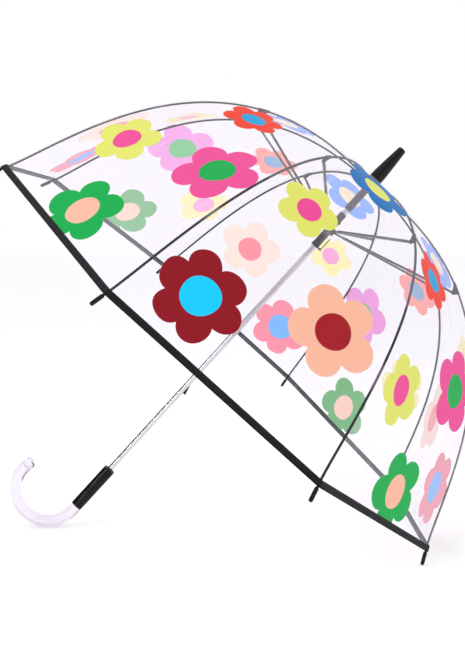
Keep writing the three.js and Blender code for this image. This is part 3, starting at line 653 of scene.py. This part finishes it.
def film_point(gore, distance, across, lift):
    """A point of a gore: along its ribs, across from -1 at its first rib to 1 at its next, lifted."""
    rim = along_rib(distance, lift)
    radius, height = rim[..., 0], rim[..., 1]
    belly = (1 - across**2) * GORE_SAG * np.sin(np.pi * np.clip(distance / RIB_LENGTH, 0, 1)) ** 0.7
    pleats = 0.5 * np.exp(-distance / 35) * np.sin(across * 14) * (1 - across**2)
    flat = radius * math.cos(HALF_GORE) - belly + pleats
    side = across * radius * math.sin(HALF_GORE)
    turn = gore * RIB_STEP
    x = flat * math.cos(turn) - side * math.sin(turn)
    y = flat * math.sin(turn) + side * math.cos(turn)
    return np.stack([x, y, height], -1)


def flower_group():
    """Masks of one printed flower: round petals about a round heart, as cut by hand with scissors."""
    group = bpy.data.node_groups.new("paper_cut_flower", "ShaderNodeTree")
    for name in ("Place", "Centre"):
        group.interface.new_socket(name, in_out="INPUT", socket_type="NodeSocketVector")
    for name in ("Petals", "Petal reach", "Petal radius", "Size", "First petal"):
        group.interface.new_socket(name, in_out="INPUT", socket_type="NodeSocketFloat")
    for name in ("Petal mask", "Heart mask"):
        group.interface.new_socket(name, in_out="OUTPUT", socket_type="NodeSocketFloat")
    given = put(group, "NodeGroupInput").outputs

    def maths(operation, first, second=None, third=None):
        """One Math node on sockets or numbers."""
        made = put(group, "ShaderNodeMath", operation=operation)
        for slot, source in enumerate((first, second, third)):
            if source is None:
                continue
            if isinstance(source, (int, float)):
                made.inputs[slot].default_value = source
            else:
                group.links.new(source, made.inputs[slot])
        return made.outputs[0]

    offset = put(group, "ShaderNodeVectorMath", None, {0: given["Place"], 1: given["Centre"]},
                 operation="SUBTRACT")
    distance = put(group, "ShaderNodeVectorMath", None, {0: offset.outputs[0]}, operation="LENGTH")
    reach = maths("DIVIDE", distance.outputs["Value"], given["Size"])
    axes = put(group, "ShaderNodeSeparateXYZ", None, {0: offset.outputs[0]})
    angle = maths("SUBTRACT", maths("ARCTAN2", axes.outputs[1], axes.outputs[0]), given["First petal"])
    wedge = maths("DIVIDE", 2 * math.pi, given["Petals"])
    half = maths("MULTIPLY", wedge, 0.5)
    folded = maths("SUBTRACT", maths("FLOORED_MODULO", maths("ADD", angle, half), wedge), half)
    cross = maths("MULTIPLY", maths("MULTIPLY", reach, given["Petal reach"]), maths("COSINE", folded))
    squares = maths("ADD", maths("MULTIPLY", reach, reach),
                    maths("MULTIPLY", given["Petal reach"], given["Petal reach"]))
    apart = maths("SQRT", maths("MAXIMUM", maths("SUBTRACT", squares, maths("MULTIPLY", cross, 2.0)), 0.0))
    edge = maths("DIVIDE", INK_EDGE, given["Size"])
    rim = maths("SUBTRACT", given["Petal radius"], apart)
    petal = maths("ADD", maths("DIVIDE", rim, edge), 0.5)
    core = maths("ADD", maths("DIVIDE", maths("SUBTRACT", FLOWER_CORE, reach), edge), 0.5)
    heart = maths("ADD", maths("DIVIDE", maths("SUBTRACT", FLOWER_HEART, reach), edge), 0.5)
    whole = put(group, "ShaderNodeClamp", None, {0: maths("MAXIMUM", petal, core)})
    middle = put(group, "ShaderNodeClamp", None, {0: heart})
    put(group, "NodeGroupOutput", None, {0: whole.outputs[0], 1: middle.outputs[0]})
    return group


# For each flower: how far across its gore and above the hem it stands, its radius, its petals and
# the direction of the first one in degrees, then its petals and heart seen from outside and inside.
# The inside colours are painted paler, standing in for daylight shining through the ink from behind.
FLOWERS = {
    "first": [
        (-30, 278, 36, 6, -5, "#F43A1C", "#00A3DC", "#FA8F88", "#6FA0CC"),
        (57, 176, 49, 5, 24, "#F04E98", "#00AD4D", "#EC94E0", "#56C072"),
        (-64, 130, 40, 5, 50, "#E4E76B", "#F04E98", "#F9F1AC", "#F3A0D8"),
        (8, 36, 46, 5, 54, "#00AD4D", "#FCBCA0", "#5DB36C", "#FBD2BF"),
    ],
    "second": [
        (2, 351, 44, 5, 3, "#0071BC", "#E5E86E", "#6AA3FF", "#FBE7C4"),
        (-45, 219, 35, 5, 16, "#E4E76B", "#F04E98", "#F9F1AC", "#F3A0D8"),
        (53, 128, 49, 5, 70, "#FCBCA0", "#A51C24", "#FDE2D4", "#F9808F"),
        (-68, 60, 48, 6, 0, "#90101F", "#0FCDFA", "#F57F98", "#5CAEFC"),
    ],
}
PETAL_RADIUS = {5: 0.4, 6: 0.36}  # by the number of petals, as a share of the flower's radius
flower = flower_group()


def printed_film(layout, side):
    """Clear PVC film: almost unseen face on, whiter and glossier at a slant; the print is matt ink.
    The white at a slant is painted reflection, the whiter streaks are painted glare, and the inside has a
    painted glow.
    """
    outside = side == "outside"
    material, tree, out = new_material(f"clear_film_{layout}_{side}")
    place = put(tree, "ShaderNodeUVMap", uv_map="print").outputs[0]
    place = put(tree, "ShaderNodeVectorMath", {1: (1000, 1000, 1000)}, {0: place}, operation="MULTIPLY")
    waver = put(tree, "ShaderNodeTexNoise", {"Scale": 0.02, "Detail": 0.0}, {"Vector": place.outputs[0]})
    drift = put(tree, "ShaderNodeVectorMath", {1: (0.5, 0.5, 0.5)}, {0: waver.outputs["Color"]},
                operation="SUBTRACT")
    hand = put(tree, "ShaderNodeVectorMath", {1: (7, 7, 0)}, {0: drift.outputs[0], 2: place.outputs[0]},
               operation="MULTIPLY_ADD")
    hue, mask = None, None
    for x, y, size, petals, turn, *paints in FLOWERS[layout]:
        petal_radius = PETAL_RADIUS[petals]
        bloom = put(tree, "ShaderNodeGroup", node_tree=flower)
        drawn = {"Centre": (x, y, 0), "Petals": petals, "Petal reach": 1 - petal_radius,
                 "Petal radius": petal_radius, "Size": size, "First petal": math.radians(turn)}
        for name, value in drawn.items():
            bloom.inputs[name].default_value = value
        tree.links.new(hand.outputs[0], bloom.inputs["Place"])
        # the inside colours carry painted backlight through the ink
        petal_hex, heart_hex = paints[:2] if outside else paints[2:]
        ink = put(tree, "ShaderNodeMix", {"A": colour(petal_hex), "B": colour(heart_hex)},
                  {"Factor": bloom.outputs["Heart mask"]}, data_type="RGBA")
        if hue is None:
            hue = put(tree, "ShaderNodeMix", {"A": colour("#F7F2FB")}, {"Factor": bloom.outputs[0],
                      "B": ink.outputs["Result"]}, data_type="RGBA").outputs["Result"]
            mask = bloom.outputs[0]
            continue
        laid = {"Factor": bloom.outputs[0], "A": hue, "B": ink.outputs["Result"]}
        hue = put(tree, "ShaderNodeMix", None, laid, data_type="RGBA").outputs["Result"]
        both = put(tree, "ShaderNodeMath", None, {0: mask, 1: bloom.outputs[0]}, operation="MAXIMUM")
        mask = both.outputs[0]
    long_way = put(tree, "ShaderNodeMapping", {"Scale": (0.09, 0.012, 0.05)}, {"Vector": place.outputs[0]})
    ripple = put(tree, "ShaderNodeTexNoise", {"Scale": 1.0, "Detail": 3.0, "Roughness": 0.45},
                 {"Vector": long_way.outputs[0]})
    bump = put(tree, "ShaderNodeBump", {"Strength": 0.35, "Distance": 0.002}, {"Height": ripple.outputs[0]})
    # painted reflection: the Fresnel factor turns the film to diffuse white at a slant, standing in for its
    # reflection
    gloss = put(tree, "ShaderNodeFresnel", {"IOR": 1.5}, {"Normal": bump.outputs[0]})
    # painted glare: streaks of noise along the gore whiten the film a little
    painted_glare_range = {"From Min": 0.6, "From Max": 0.75, "To Min": 0.006, "To Max": 0.1}
    painted_glare_streaks = put(tree, "ShaderNodeMapRange", painted_glare_range, {"Value": ripple.outputs[0]})
    painted_sheen_and_glare = put(tree, "ShaderNodeMath", {1: 0.12}, {0: gloss.outputs[0], 2: painted_glare_streaks.outputs[0]},
               operation="MULTIPLY_ADD")
    ink_share = put(tree, "ShaderNodeMath", {1: INK_COVER[side]}, {0: mask}, operation="MULTIPLY")
    shown = put(tree, "ShaderNodeMath", None, {0: painted_sheen_and_glare.outputs[0], 1: ink_share.outputs[0]},
                operation="MAXIMUM", use_clamp=True)
    rough = put(tree, "ShaderNodeMapRange", {"To Min": 0.08, "To Max": 0.42}, {"Value": mask})
    film = put(tree, "ShaderNodeBsdfPrincipled", {"IOR": 1.5, "Specular IOR Level": 0.12},
               {"Base Color": hue, "Roughness": rough.outputs[0], "Normal": bump.outputs[0]})
    # painted light: the inside of the film glows faintly, standing in for daylight shining through it
    if not outside:
        film.inputs["Emission Color"].default_value = (1, 0.97, 0.96, 1)
        film.inputs["Emission Strength"].default_value = PAINTED_GLOW_INSIDE
    clear = put(tree, "ShaderNodeBsdfTransparent", {"Color": (0.99, 0.984, 0.995, 1)})
    mixed = put(tree, "ShaderNodeMixShader", None,
                {0: shown.outputs[0], 1: clear.outputs[0], 2: film.outputs[0]})
    tree.links.new(mixed.outputs[0], out.inputs[0])
    return material


films = {(layout, side): printed_film(layout, side) for layout in FLOWERS for side in ("outside", "inside")}


def lay_flat(made, name, flat):
    """Gives a piece a UV map, from the flat place of each of its points."""
    uv = made.data.uv_layers.new(name=name)
    corner_points = np.empty(len(made.data.loops), int)
    made.data.loops.foreach_get("vertex_index", corner_points)
    uv.data.foreach_set("uv", flat[corner_points].astype(np.float32).ravel())


def film_piece(name, gore, start, end, rows):
    """One stretch of a gore: a thin closed sheet, printed outside, with its flat place as its UV map."""
    columns = ACROSS + 1
    along, over = np.linspace(start, end, rows + 1), np.linspace(-1, 1, columns)
    distance, across = np.meshgrid(along, over, indexing="ij")
    lifts = (FILM_LIFT, FILM_LIFT + FILM)
    shells = [film_point(gore, distance, across, lift).reshape(-1, 3) for lift in lifts]
    count = len(shells[0])
    inside, outside, edges = [], [], []
    for row in range(rows):
        for column in range(ACROSS):
            a = row * columns + column
            quad = (a, a + 1, a + columns + 1, a + columns)
            inside.append(quad)
            outside.append([count + corner for corner in quad[::-1]])
    rim = [row * columns for row in range(rows + 1)] + [rows * columns + c for c in range(1, columns)]
    rim += [row * columns + ACROSS for row in range(rows - 1, -1, -1)] + list(range(ACROSS - 1, 0, -1))
    for a, b in zip(rim, rim[1:] + rim[:1]):
        edges.append((a, b, count + b, count + a))
    layout = "first" if gore % 2 else "second"
    shape = (np.concatenate(shells), inside + outside + edges)
    made = piece(name, shape, films[layout, "inside"], FILM_CREASE)
    made.data.materials.append(films[layout, "outside"])
    spread = across * along_rib(distance)[..., 0] * math.sin(HALF_GORE)
    flat = np.stack([spread, RIB_LENGTH + HEM_PAST / 2 - distance], -1).reshape(-1, 2) / 1000
    lay_flat(made, "print", np.concatenate([flat, flat]))
    for polygon in made.data.polygons:
        polygon.material_index = int(min(polygon.vertices) >= count)
    return made


def bend_between_ribs(made, gore, half, across_share):
    """Holds a piece on both its ribs: each point turns with the share of its place between them."""
    first = f"rib_{half}_{gore}"
    start = stand @ Vector((0, 0, 0))
    end = stand @ Vector((0, 0, 1))
    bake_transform(made, first, f"gore_{half}_{gore}", start=tuple(start), end=tuple(end))
    weights = made.data.attributes["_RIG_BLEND"]
    weights.data.foreach_set("value", np.asarray(across_share, np.float32))


def share_between(made, gore):
    """How far round from its first rib to its next each point of a piece lies, from 0 to 1."""
    back = stand.inverted()
    angles = []
    for vertex in made.data.vertices:
        spot = back @ vertex.co
        turn = math.atan2(spot.y, spot.x) - (gore - 0.5) * RIB_STEP
        turn = (turn + math.pi) % (2 * math.pi) - math.pi
        angles.append(min(max(turn / RIB_STEP, 0), 1))
    return angles


for gore in RIBS:
    for half, start, end, rows in (("upper", FILM_START, BRACKET_ALONG, 24),
                                   ("lower", BRACKET_ALONG, RIB_LENGTH + HEM_PAST - 0.6, 44)):
        sheet = film_piece(f"film_{half}_{gore}", gore, start, end, rows)
        bend_between_ribs(sheet, gore, half, share_between(sheet, gore))
        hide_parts(f"gore_{half}_{gore}")
        length = (end - start) / 1000

# ---------------------------------------------------------------- hem binding
# Black woven polyester tape, 7 mm wide when folded, sewn over the film's edge all round. It is
# ribbed across, its two woven edges are darker, and it crosses over itself at each rib.
# Its inner leaf is painted a pale grey-green, standing in for the film's glare seen over the far hem.
TAPE_WIDTH = 7
TAPE = 0.5
TAPE_OVERLAP = 1.004  # each tape runs on past its ribs, as a share of half its length
CORDS = 320  # scale of the wave that draws the cords, which is a cord about every millimetre


def woven_tape(name, groove, cord, selvedge_hex):
    """Grosgrain: fine cords across the tape, a darker selvedge on each side, and a low sheen."""
    material, tree, out = new_material(name)
    place = put(tree, "ShaderNodeUVMap", uv_map="weave").outputs[0]
    axes = put(tree, "ShaderNodeSeparateXYZ", None, {0: place})
    cords = put(tree, "ShaderNodeTexWave", {"Scale": CORDS, "Distortion": 0.6, "Detail": 1.0},
                {"Vector": place}, wave_type="BANDS", bands_direction="X")
    fuzz = put(tree, "ShaderNodeTexNoise", {"Scale": 3000.0, "Detail": 2.0}, {"Vector": place})
    middle = put(tree, "ShaderNodeMath", {1: 0.5}, {0: axes.outputs[1]}, operation="SUBTRACT")
    edge = put(tree, "ShaderNodeMath", None, {0: middle.outputs[0]}, operation="ABSOLUTE")
    selvedge = put(tree, "ShaderNodeMapRange", {"From Min": 0.26, "From Max": 0.4},
                   {"Value": edge.outputs[0]})
    thread = put(tree, "ShaderNodeMix", {"A": colour(groove), "B": colour(cord)},
                 {"Factor": cords.outputs[1]}, data_type="RGBA")
    tone = put(tree, "ShaderNodeMix", {"B": colour(selvedge_hex)},
               {"Factor": selvedge.outputs[0], "A": thread.outputs["Result"]}, data_type="RGBA")
    height = put(tree, "ShaderNodeMath", {1: 0.3}, {0: fuzz.outputs[0], 2: cords.outputs[1]},
                 operation="MULTIPLY_ADD")
    bump = put(tree, "ShaderNodeBump", {"Strength": 0.6, "Distance": 0.0003}, {"Height": height.outputs[0]})
    cloth = put(tree, "ShaderNodeBsdfPrincipled",
                {"Roughness": 0.8, "Sheen Weight": 0.05, "Specular IOR Level": 0.2},
                {"Base Color": tone.outputs["Result"], "Normal": bump.outputs[0]})
    tree.links.new(cloth.outputs[0], out.inputs[0])
    return material


grosgrain = woven_tape("black_grosgrain", "#0E0E10", "#222225", "#0D0D0F")
# painted light: the black tape's inner leaf, painted pale to stand in for glare from the film over it
pale_painted_tape_inside = woven_tape("black_grosgrain_painted_pale_inside", "#39413F", "#5E6A69", "#2A302F")


def tape_piece(gore):
    """A folded tape along one gore's hem: outer leaf, rounded fold below the edge, inner leaf."""
    film_in, film_out = FILM_LIFT - 0.08, FILM_LIFT + FILM + 0.08
    edge = RIB_LENGTH + HEM_PAST
    up, fold = edge - TAPE_WIDTH, edge + 0.5
    outer_face, inner_face = film_out + TAPE, film_in - TAPE
    outer = [(up, film_out), (up, film_out + TAPE * 0.7), (up + 0.5, outer_face),
             (up + 3.5, outer_face + 0.1), (fold - 0.8, outer_face), (fold, film_out + TAPE * 0.6),
             (fold + 0.25, (film_in + film_out) / 2)]
    inner = [(fold, film_in - TAPE * 0.6), (fold - 0.8, inner_face), (up + 1.0, inner_face),
             (up + 0.6, film_in - TAPE * 0.7), (up + 0.6, film_in), (edge - 0.2, film_in),
             (edge - 0.2, film_out)]
    section = outer + inner
    steps, n = 32, len(section)
    across = np.linspace(-TAPE_OVERLAP, TAPE_OVERLAP, steps + 1)
    points = []
    for t in across:
        for distance, lift in section:
            points.append(film_point(gore, np.array(distance), np.array(t), np.array(lift)))
    faces = skin(steps + 1, n) + [list(range(n)), [steps * n + k for k in range(n)]]
    made = piece(f"hem_tape_{gore}", (points, faces), grosgrain)
    made.data.materials.append(pale_painted_tape_inside)
    for polygon in made.data.polygons:
        places = [corner % n for corner in polygon.vertices]
        polygon.material_index = int(len(places) == 4 and min(places) >= len(outer))
    width = HEM_RADIUS * math.sin(HALF_GORE) / 1000
    heights = [(d - up) / (fold - up) for d, _ in section]
    lay_flat(made, "weave", np.array([(t * width, h) for t in across for h in heights]))
    return made


for gore in RIBS:
    tape = tape_piece(gore)
    bend_between_ribs(tape, gore, "lower", share_between(tape, gore))

# ---------------------------------------------------------------- hem stitches
# One row of lock stitches in black polyester thread holds each tape, near its upper edge. They
# show as short raised dashes on the outside and the inside, a thread's thickness proud.
STITCH_PITCH = 2.6
STITCH_LENGTH = 2.0
THREAD_RADIUS = 0.2
STITCH_INSET = 1.6  # from the tape's upper edge
ROW_POINTS = 40


def thread():
    """Polyester sewing thread: black with a soft shine, twisted finely."""
    material, tree, out = new_material("black_sewing_thread")
    place = put(tree, "ShaderNodeTexCoord").outputs["Object"]
    twist = put(tree, "ShaderNodeTexNoise", {"Scale": 5000.0}, {"Vector": place})
    bump = put(tree, "ShaderNodeBump", {"Strength": 0.4, "Distance": 0.0001}, {"Height": twist.outputs[0]})
    yarn = put(tree, "ShaderNodeBsdfPrincipled", {"Base Color": colour("#232326"), "Roughness": 0.45},
               {"Normal": bump.outputs[0]})
    tree.links.new(yarn.outputs[0], out.inputs[0])
    return material


def stitch_tree(material):
    """Sews along a line: evenly spaced points, a short round-ended thread laid along it at each."""
    tree = bpy.data.node_groups.new("lock_stitches", "GeometryNodeTree")
    tree.interface.new_socket("Line", in_out="INPUT", socket_type="NodeSocketGeometry")
    for name in ("Pitch", "Stitch length", "Thread radius"):
        tree.interface.new_socket(name, in_out="INPUT", socket_type="NodeSocketFloat")
    tree.interface.new_socket("Stitches", in_out="OUTPUT", socket_type="NodeSocketGeometry")
    given = put(tree, "NodeGroupInput").outputs
    line = put(tree, "GeometryNodeMeshToCurve", None, {0: given["Line"]})
    seam = put(tree, "GeometryNodeCurveToPoints", None,
               {"Curve": line.outputs[0], "Length": given["Pitch"]}, mode="LENGTH")
    bead = put(tree, "GeometryNodeMeshUVSphere", {"Segments": 6, "Rings": 5})
    slim = put(tree, "ShaderNodeMath", {1: 0.5}, {0: given["Stitch length"]}, operation="MULTIPLY")
    size = put(tree, "ShaderNodeCombineXYZ", None,
               {0: given["Thread radius"], 1: given["Thread radius"], 2: slim.outputs[0]})
    laid = put(tree, "GeometryNodeInstanceOnPoints", None,
               {"Points": seam.outputs["Points"], "Instance": bead.outputs["Mesh"],
                "Rotation": seam.outputs["Rotation"], "Scale": size.outputs[0]})
    real = put(tree, "GeometryNodeRealizeInstances", None, {0: laid.outputs[0]})
    dyed = put(tree, "GeometryNodeSetMaterial", None, {0: real.outputs[0]})
    dyed.inputs["Material"].default_value = material
    put(tree, "NodeGroupOutput", None, {0: dyed.outputs[0]})
    return tree


black_thread = thread()
sewing = stitch_tree(black_thread)


def stitch_row(name, gore, lift):
    """One row of stitches along a gore's tape, on its outer or its inner face."""
    stops = np.linspace(-0.985, 0.985, ROW_POINTS)
    level = np.full(ROW_POINTS, RIB_LENGTH + HEM_PAST - TAPE_WIDTH + STITCH_INSET)
    spots = film_point(gore, level, stops, np.full(ROW_POINTS, lift))
    links = [(i, i + 1) for i in range(ROW_POINTS - 1)]
    mesh = bpy.data.meshes.new(name)
    mesh.from_pydata([stand @ Vector(spot) for spot in spots], links, [])
    row = placed(name, mesh)
    sew = row.modifiers.new("sew", "NODES")
    sew.node_group = sewing
    sizes = {"Pitch": STITCH_PITCH, "Stitch length": STITCH_LENGTH, "Thread radius": THREAD_RADIUS}
    for socket in sewing.interface.items_tree:
        if socket.name in sizes:
            sew[socket.identifier] = sizes[socket.name] / 1000
    settle(row)
    return row


for gore in RIBS:
    for side, lift in (("outer", FILM_LIFT + FILM + TAPE + 0.12), ("inner", FILM_LIFT - TAPE - 0.1)):
        row = stitch_row(f"hem_stitches_{side}_{gore}", gore, lift)
        bend_between_ribs(row, gore, "lower", share_between(row, gore))

# ---------------------------------------------------------------- collar
# A glossy black tube pressed over the top of the crook, holding the shaft's end. Its mouth is
# rounded over.
COLLAR_HEAD = -220
COLLAR_FOOT = -286
COLLAR_RADIUS = 7.8
collar_profile = [(BORE, COLLAR_FOOT), (COLLAR_RADIUS - 0.3, COLLAR_FOOT),
                  (COLLAR_RADIUS, COLLAR_FOOT + 0.3), (COLLAR_RADIUS, COLLAR_HEAD - 1.6),
                  (COLLAR_RADIUS - 0.3, COLLAR_HEAD - 0.7), (COLLAR_RADIUS - 0.9, COLLAR_HEAD - 0.15),
                  (COLLAR_RADIUS - 1.7, COLLAR_HEAD), (BORE + 1, COLLAR_HEAD), (BORE, COLLAR_HEAD - 0.7)]
collar_gloss = moulded("polished_black_acrylic", "#050506", 0.03, 0.6, 0.01, 0.22)
collar = piece("collar_tube", turned(collar_profile, 96), collar_gloss)
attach(collar, "shaft")
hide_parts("collar")

# ---------------------------------------------------------------- crook handle
# A solid rod of clear acrylic, heated and bent round a former into a crook, then polished. Its
# end is a domed piece of the same, and a spigot on its other end goes up into the collar.
ROD_RADIUS = 7.5
BEND_RADIUS = 42.3
CROOK_HEAD = COLLAR_FOOT - 0.3
CROOK_LEVEL = CROOK_HEAD - 10
CLEAR_TURN = math.radians(188)
CAP_TURN = math.radians(201)
GAP_TURN = 0.3 / BEND_RADIUS
SPIGOT_RADIUS = 3.6


def rod(stations, sides=48):
    """A rod through (turn round the bend, rise above it, radius) stations, closed at both ends."""
    points = []
    for turn, rise, radius in stations:
        height = CROOK_LEVEL - BEND_RADIUS * math.sin(turn) + rise
        centre = np.array([-BEND_RADIUS * (1 - math.cos(turn)), 0, height])
        across = np.array([math.cos(turn), 0, -math.sin(turn)])
        for k in range(sides):
            a = 2 * math.pi * k / sides
            points.append(centre + across * radius * math.cos(a) + np.array([0, radius * math.sin(a), 0]))
    last = (len(stations) - 1) * sides
    ends = [list(range(sides)), [last + k for k in range(sides)]]
    return points, skin(len(stations), sides) + ends


def clear_acrylic():
    """Cast acrylic: clear as water, bending what lies behind it, with a faint lilac cast."""
    material, tree, out = new_material("cast_acrylic")
    place = put(tree, "ShaderNodeTexCoord").outputs["Object"]
    swirl = put(tree, "ShaderNodeTexNoise", {"Scale": 60.0, "Detail": 2.0}, {"Vector": place})
    bump = put(tree, "ShaderNodeBump", {"Strength": 0.08, "Distance": 0.001}, {"Height": swirl.outputs[0]})
    looks = {"Base Color": colour("#F0EAF5"), "Roughness": 0.03, "IOR": 1.49, "Transmission Weight": 1.0}
    glassy = put(tree, "ShaderNodeBsdfPrincipled", looks, {"Normal": bump.outputs[0]})
    tree.links.new(glassy.outputs[0], out.inputs[0])
    return material


acrylic = clear_acrylic()
straight = CROOK_HEAD - CROOK_LEVEL
bend = [(0, straight + 4, SPIGOT_RADIUS - 0.4), (0, straight + 3.6, SPIGOT_RADIUS),
        (0, straight, SPIGOT_RADIUS), (0, straight, ROD_RADIUS - 0.4),
        (0, straight - 0.4, ROD_RADIUS), (0, straight / 2, ROD_RADIUS)]
bend += [(CLEAR_TURN * k / 90, 0, ROD_RADIUS) for k in range(90)]
bend += [(CLEAR_TURN, 0, ROD_RADIUS - 0.15)]
crook = piece("crook_rod", rod(bend), acrylic)
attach(crook, "shaft")
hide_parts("crook")
cap_from = CLEAR_TURN + GAP_TURN
end_cap = [(cap_from, 0, ROD_RADIUS - 0.15)]
end_cap += [(cap_from + (CAP_TURN - cap_from) * share, 0, radius) for share, radius in (
    (0.05, ROD_RADIUS), (0.55, ROD_RADIUS), (0.72, 7.3), (0.86, 6.8), (0.94, 6.1), (0.99, 5.0), (1.0, 3.6))]
cap_rod = piece("crook_end", rod(end_cap), acrylic)
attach(cap_rod, "shaft")
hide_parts("crook_cap")

# ---------------------------------------------------------------- floor, light and camera
# A white paper sweep under broad soft light. The camera stands a little over a metre away and
# looks slightly down at the open side of the dome.
EYE_FROM_CROOK = Vector((0.258, -1.212, 0.389))
LOOK = Vector((-0.0115, 0.9954, -0.0961))
crook_foot = stand @ Vector((-BEND_RADIUS, 0, CROOK_LEVEL))
crook_foot.z = 0

FLOOR_HALF = 14  # metres, far enough out that no edge shows
paper, tree, out = new_material("white_paper_sweep")
fibres = put(tree, "ShaderNodeTexNoise", {"Scale": 900.0, "Detail": 3.0},
             {"Vector": put(tree, "ShaderNodeTexCoord").outputs["Object"]})
tone = put(tree, "ShaderNodeMapRange", {"To Min": 0.93, "To Max": 0.97}, {"Value": fibres.outputs[0]})
sheet_white = put(tree, "ShaderNodeBsdfPrincipled", {"Roughness": 0.9, "Emission Color": (1, 1, 1, 1),
                  "Emission Strength": 0.25}, {"Base Color": tone.outputs[0]})
tree.links.new(sheet_white.outputs[0], out.inputs[0])
mesh = bpy.data.meshes.new("paper_floor")
corners = [(x * FLOOR_HALF, y * FLOOR_HALF, 0) for x, y in ((-1, -1), (1, -1), (1, 1), (-1, 1))]
mesh.from_pydata(corners, [], [(0, 1, 2, 3)])
mesh.materials.append(paper)
floor = placed("paper_floor", mesh)

world = bpy.data.worlds.new("studio")
bpy.context.scene.world = world
world.use_nodes = True
tree = world.node_tree
tree.nodes.clear()
direction = put(tree, "ShaderNodeTexCoord").outputs["Generated"]
axes = put(tree, "ShaderNodeSeparateXYZ", None, {0: direction})
across = put(tree, "ShaderNodeMapRange", {"From Min": -1.0, "From Max": 1.0}, {"Value": axes.outputs[0]})
flags = put(tree, "ShaderNodeValToRGB", None, {"Fac": across.outputs[0]})
dark = (0.08, 0.08, 0.09, 1)
bright = (0.9, 0.9, 0.92, 1)
flags.color_ramp.elements[0].position = 0.0
flags.color_ramp.elements[0].color = dark
flags.color_ramp.elements[1].position = 1.0
flags.color_ramp.elements[1].color = bright
flag_edges = ((0.13, dark), (0.18, bright), (0.47, bright), (0.49, dark), (0.56, dark), (0.58, bright))
for stop, shade in flag_edges:
    flags.color_ramp.elements.new(stop).color = shade
behind = put(tree, "ShaderNodeMapRange", {"From Min": 0.5, "From Max": 0.3}, {"Value": axes.outputs[1]})
tent = put(tree, "ShaderNodeMix", {"A": bright}, {"Factor": behind.outputs[0],
           "B": flags.outputs[0]}, data_type="RGBA")
wing = put(tree, "ShaderNodeMapRange", {"From Min": -0.68, "From Max": -0.74}, {"Value": axes.outputs[0]})
tent = put(tree, "ShaderNodeMix", {"B": dark}, {"Factor": wing.outputs[0], "A": tent.outputs["Result"]},
           data_type="RGBA")
rays = put(tree, "ShaderNodeLightPath")
lit = put(tree, "ShaderNodeMix", {"B": (1, 1, 1, 1)}, {"Factor": rays.outputs["Is Camera Ray"],
          "A": tent.outputs["Result"]}, data_type="RGBA")
glow = put(tree, "ShaderNodeBackground", {"Strength": 1.0}, {"Color": lit.outputs["Result"]})
put(tree, "ShaderNodeOutputWorld", None, {0: glow.outputs[0]})



def area_lamp(name, place, aim, shape, width, height, power):
    """A lamp with a face of a width and a height in metres, turned to shine at a point."""
    lamp = bpy.data.lights.new(name, "AREA")
    lamp.shape = shape
    lamp.size = width
    lamp.size_y = height
    lamp.energy = power
    box = placed(name, lamp)
    box.location = place
    box.rotation_euler = (Vector(aim) - Vector(place)).to_track_quat("-Z", "Y").to_euler()


umbrella_middle = (0, 0, 0.25)
collar_side = (crook_foot.x, 0, 0.6)
area_lamp("overhead_softbox", (0.1, -0.3, 2.2), umbrella_middle, "DISK", 1.6, 1.6, 7)
area_lamp("side_softbox", (-1.6, -1.2, 1.3), umbrella_middle, "DISK", 0.7, 0.7, 3)
area_lamp("near_strip_light", (-1.12, -1.33, 0.6), collar_side, "RECTANGLE", 0.02, 1.1, 3)
area_lamp("far_strip_light", (-1.55, -0.78, 0.6), collar_side, "RECTANGLE", 0.02, 1.1, 3)

lens = bpy.data.cameras.new("camera")
lens.sensor_fit = "VERTICAL"
lens.sensor_height = 36
lens.lens = 52.5
camera = placed("camera", lens)
camera.location = crook_foot + EYE_FROM_CROOK
camera.rotation_euler = LOOK.to_track_quat("-Z", "Y").to_euler()
bpy.context.scene.camera = camera
bpy.context.scene.view_settings.view_transform = "Standard"
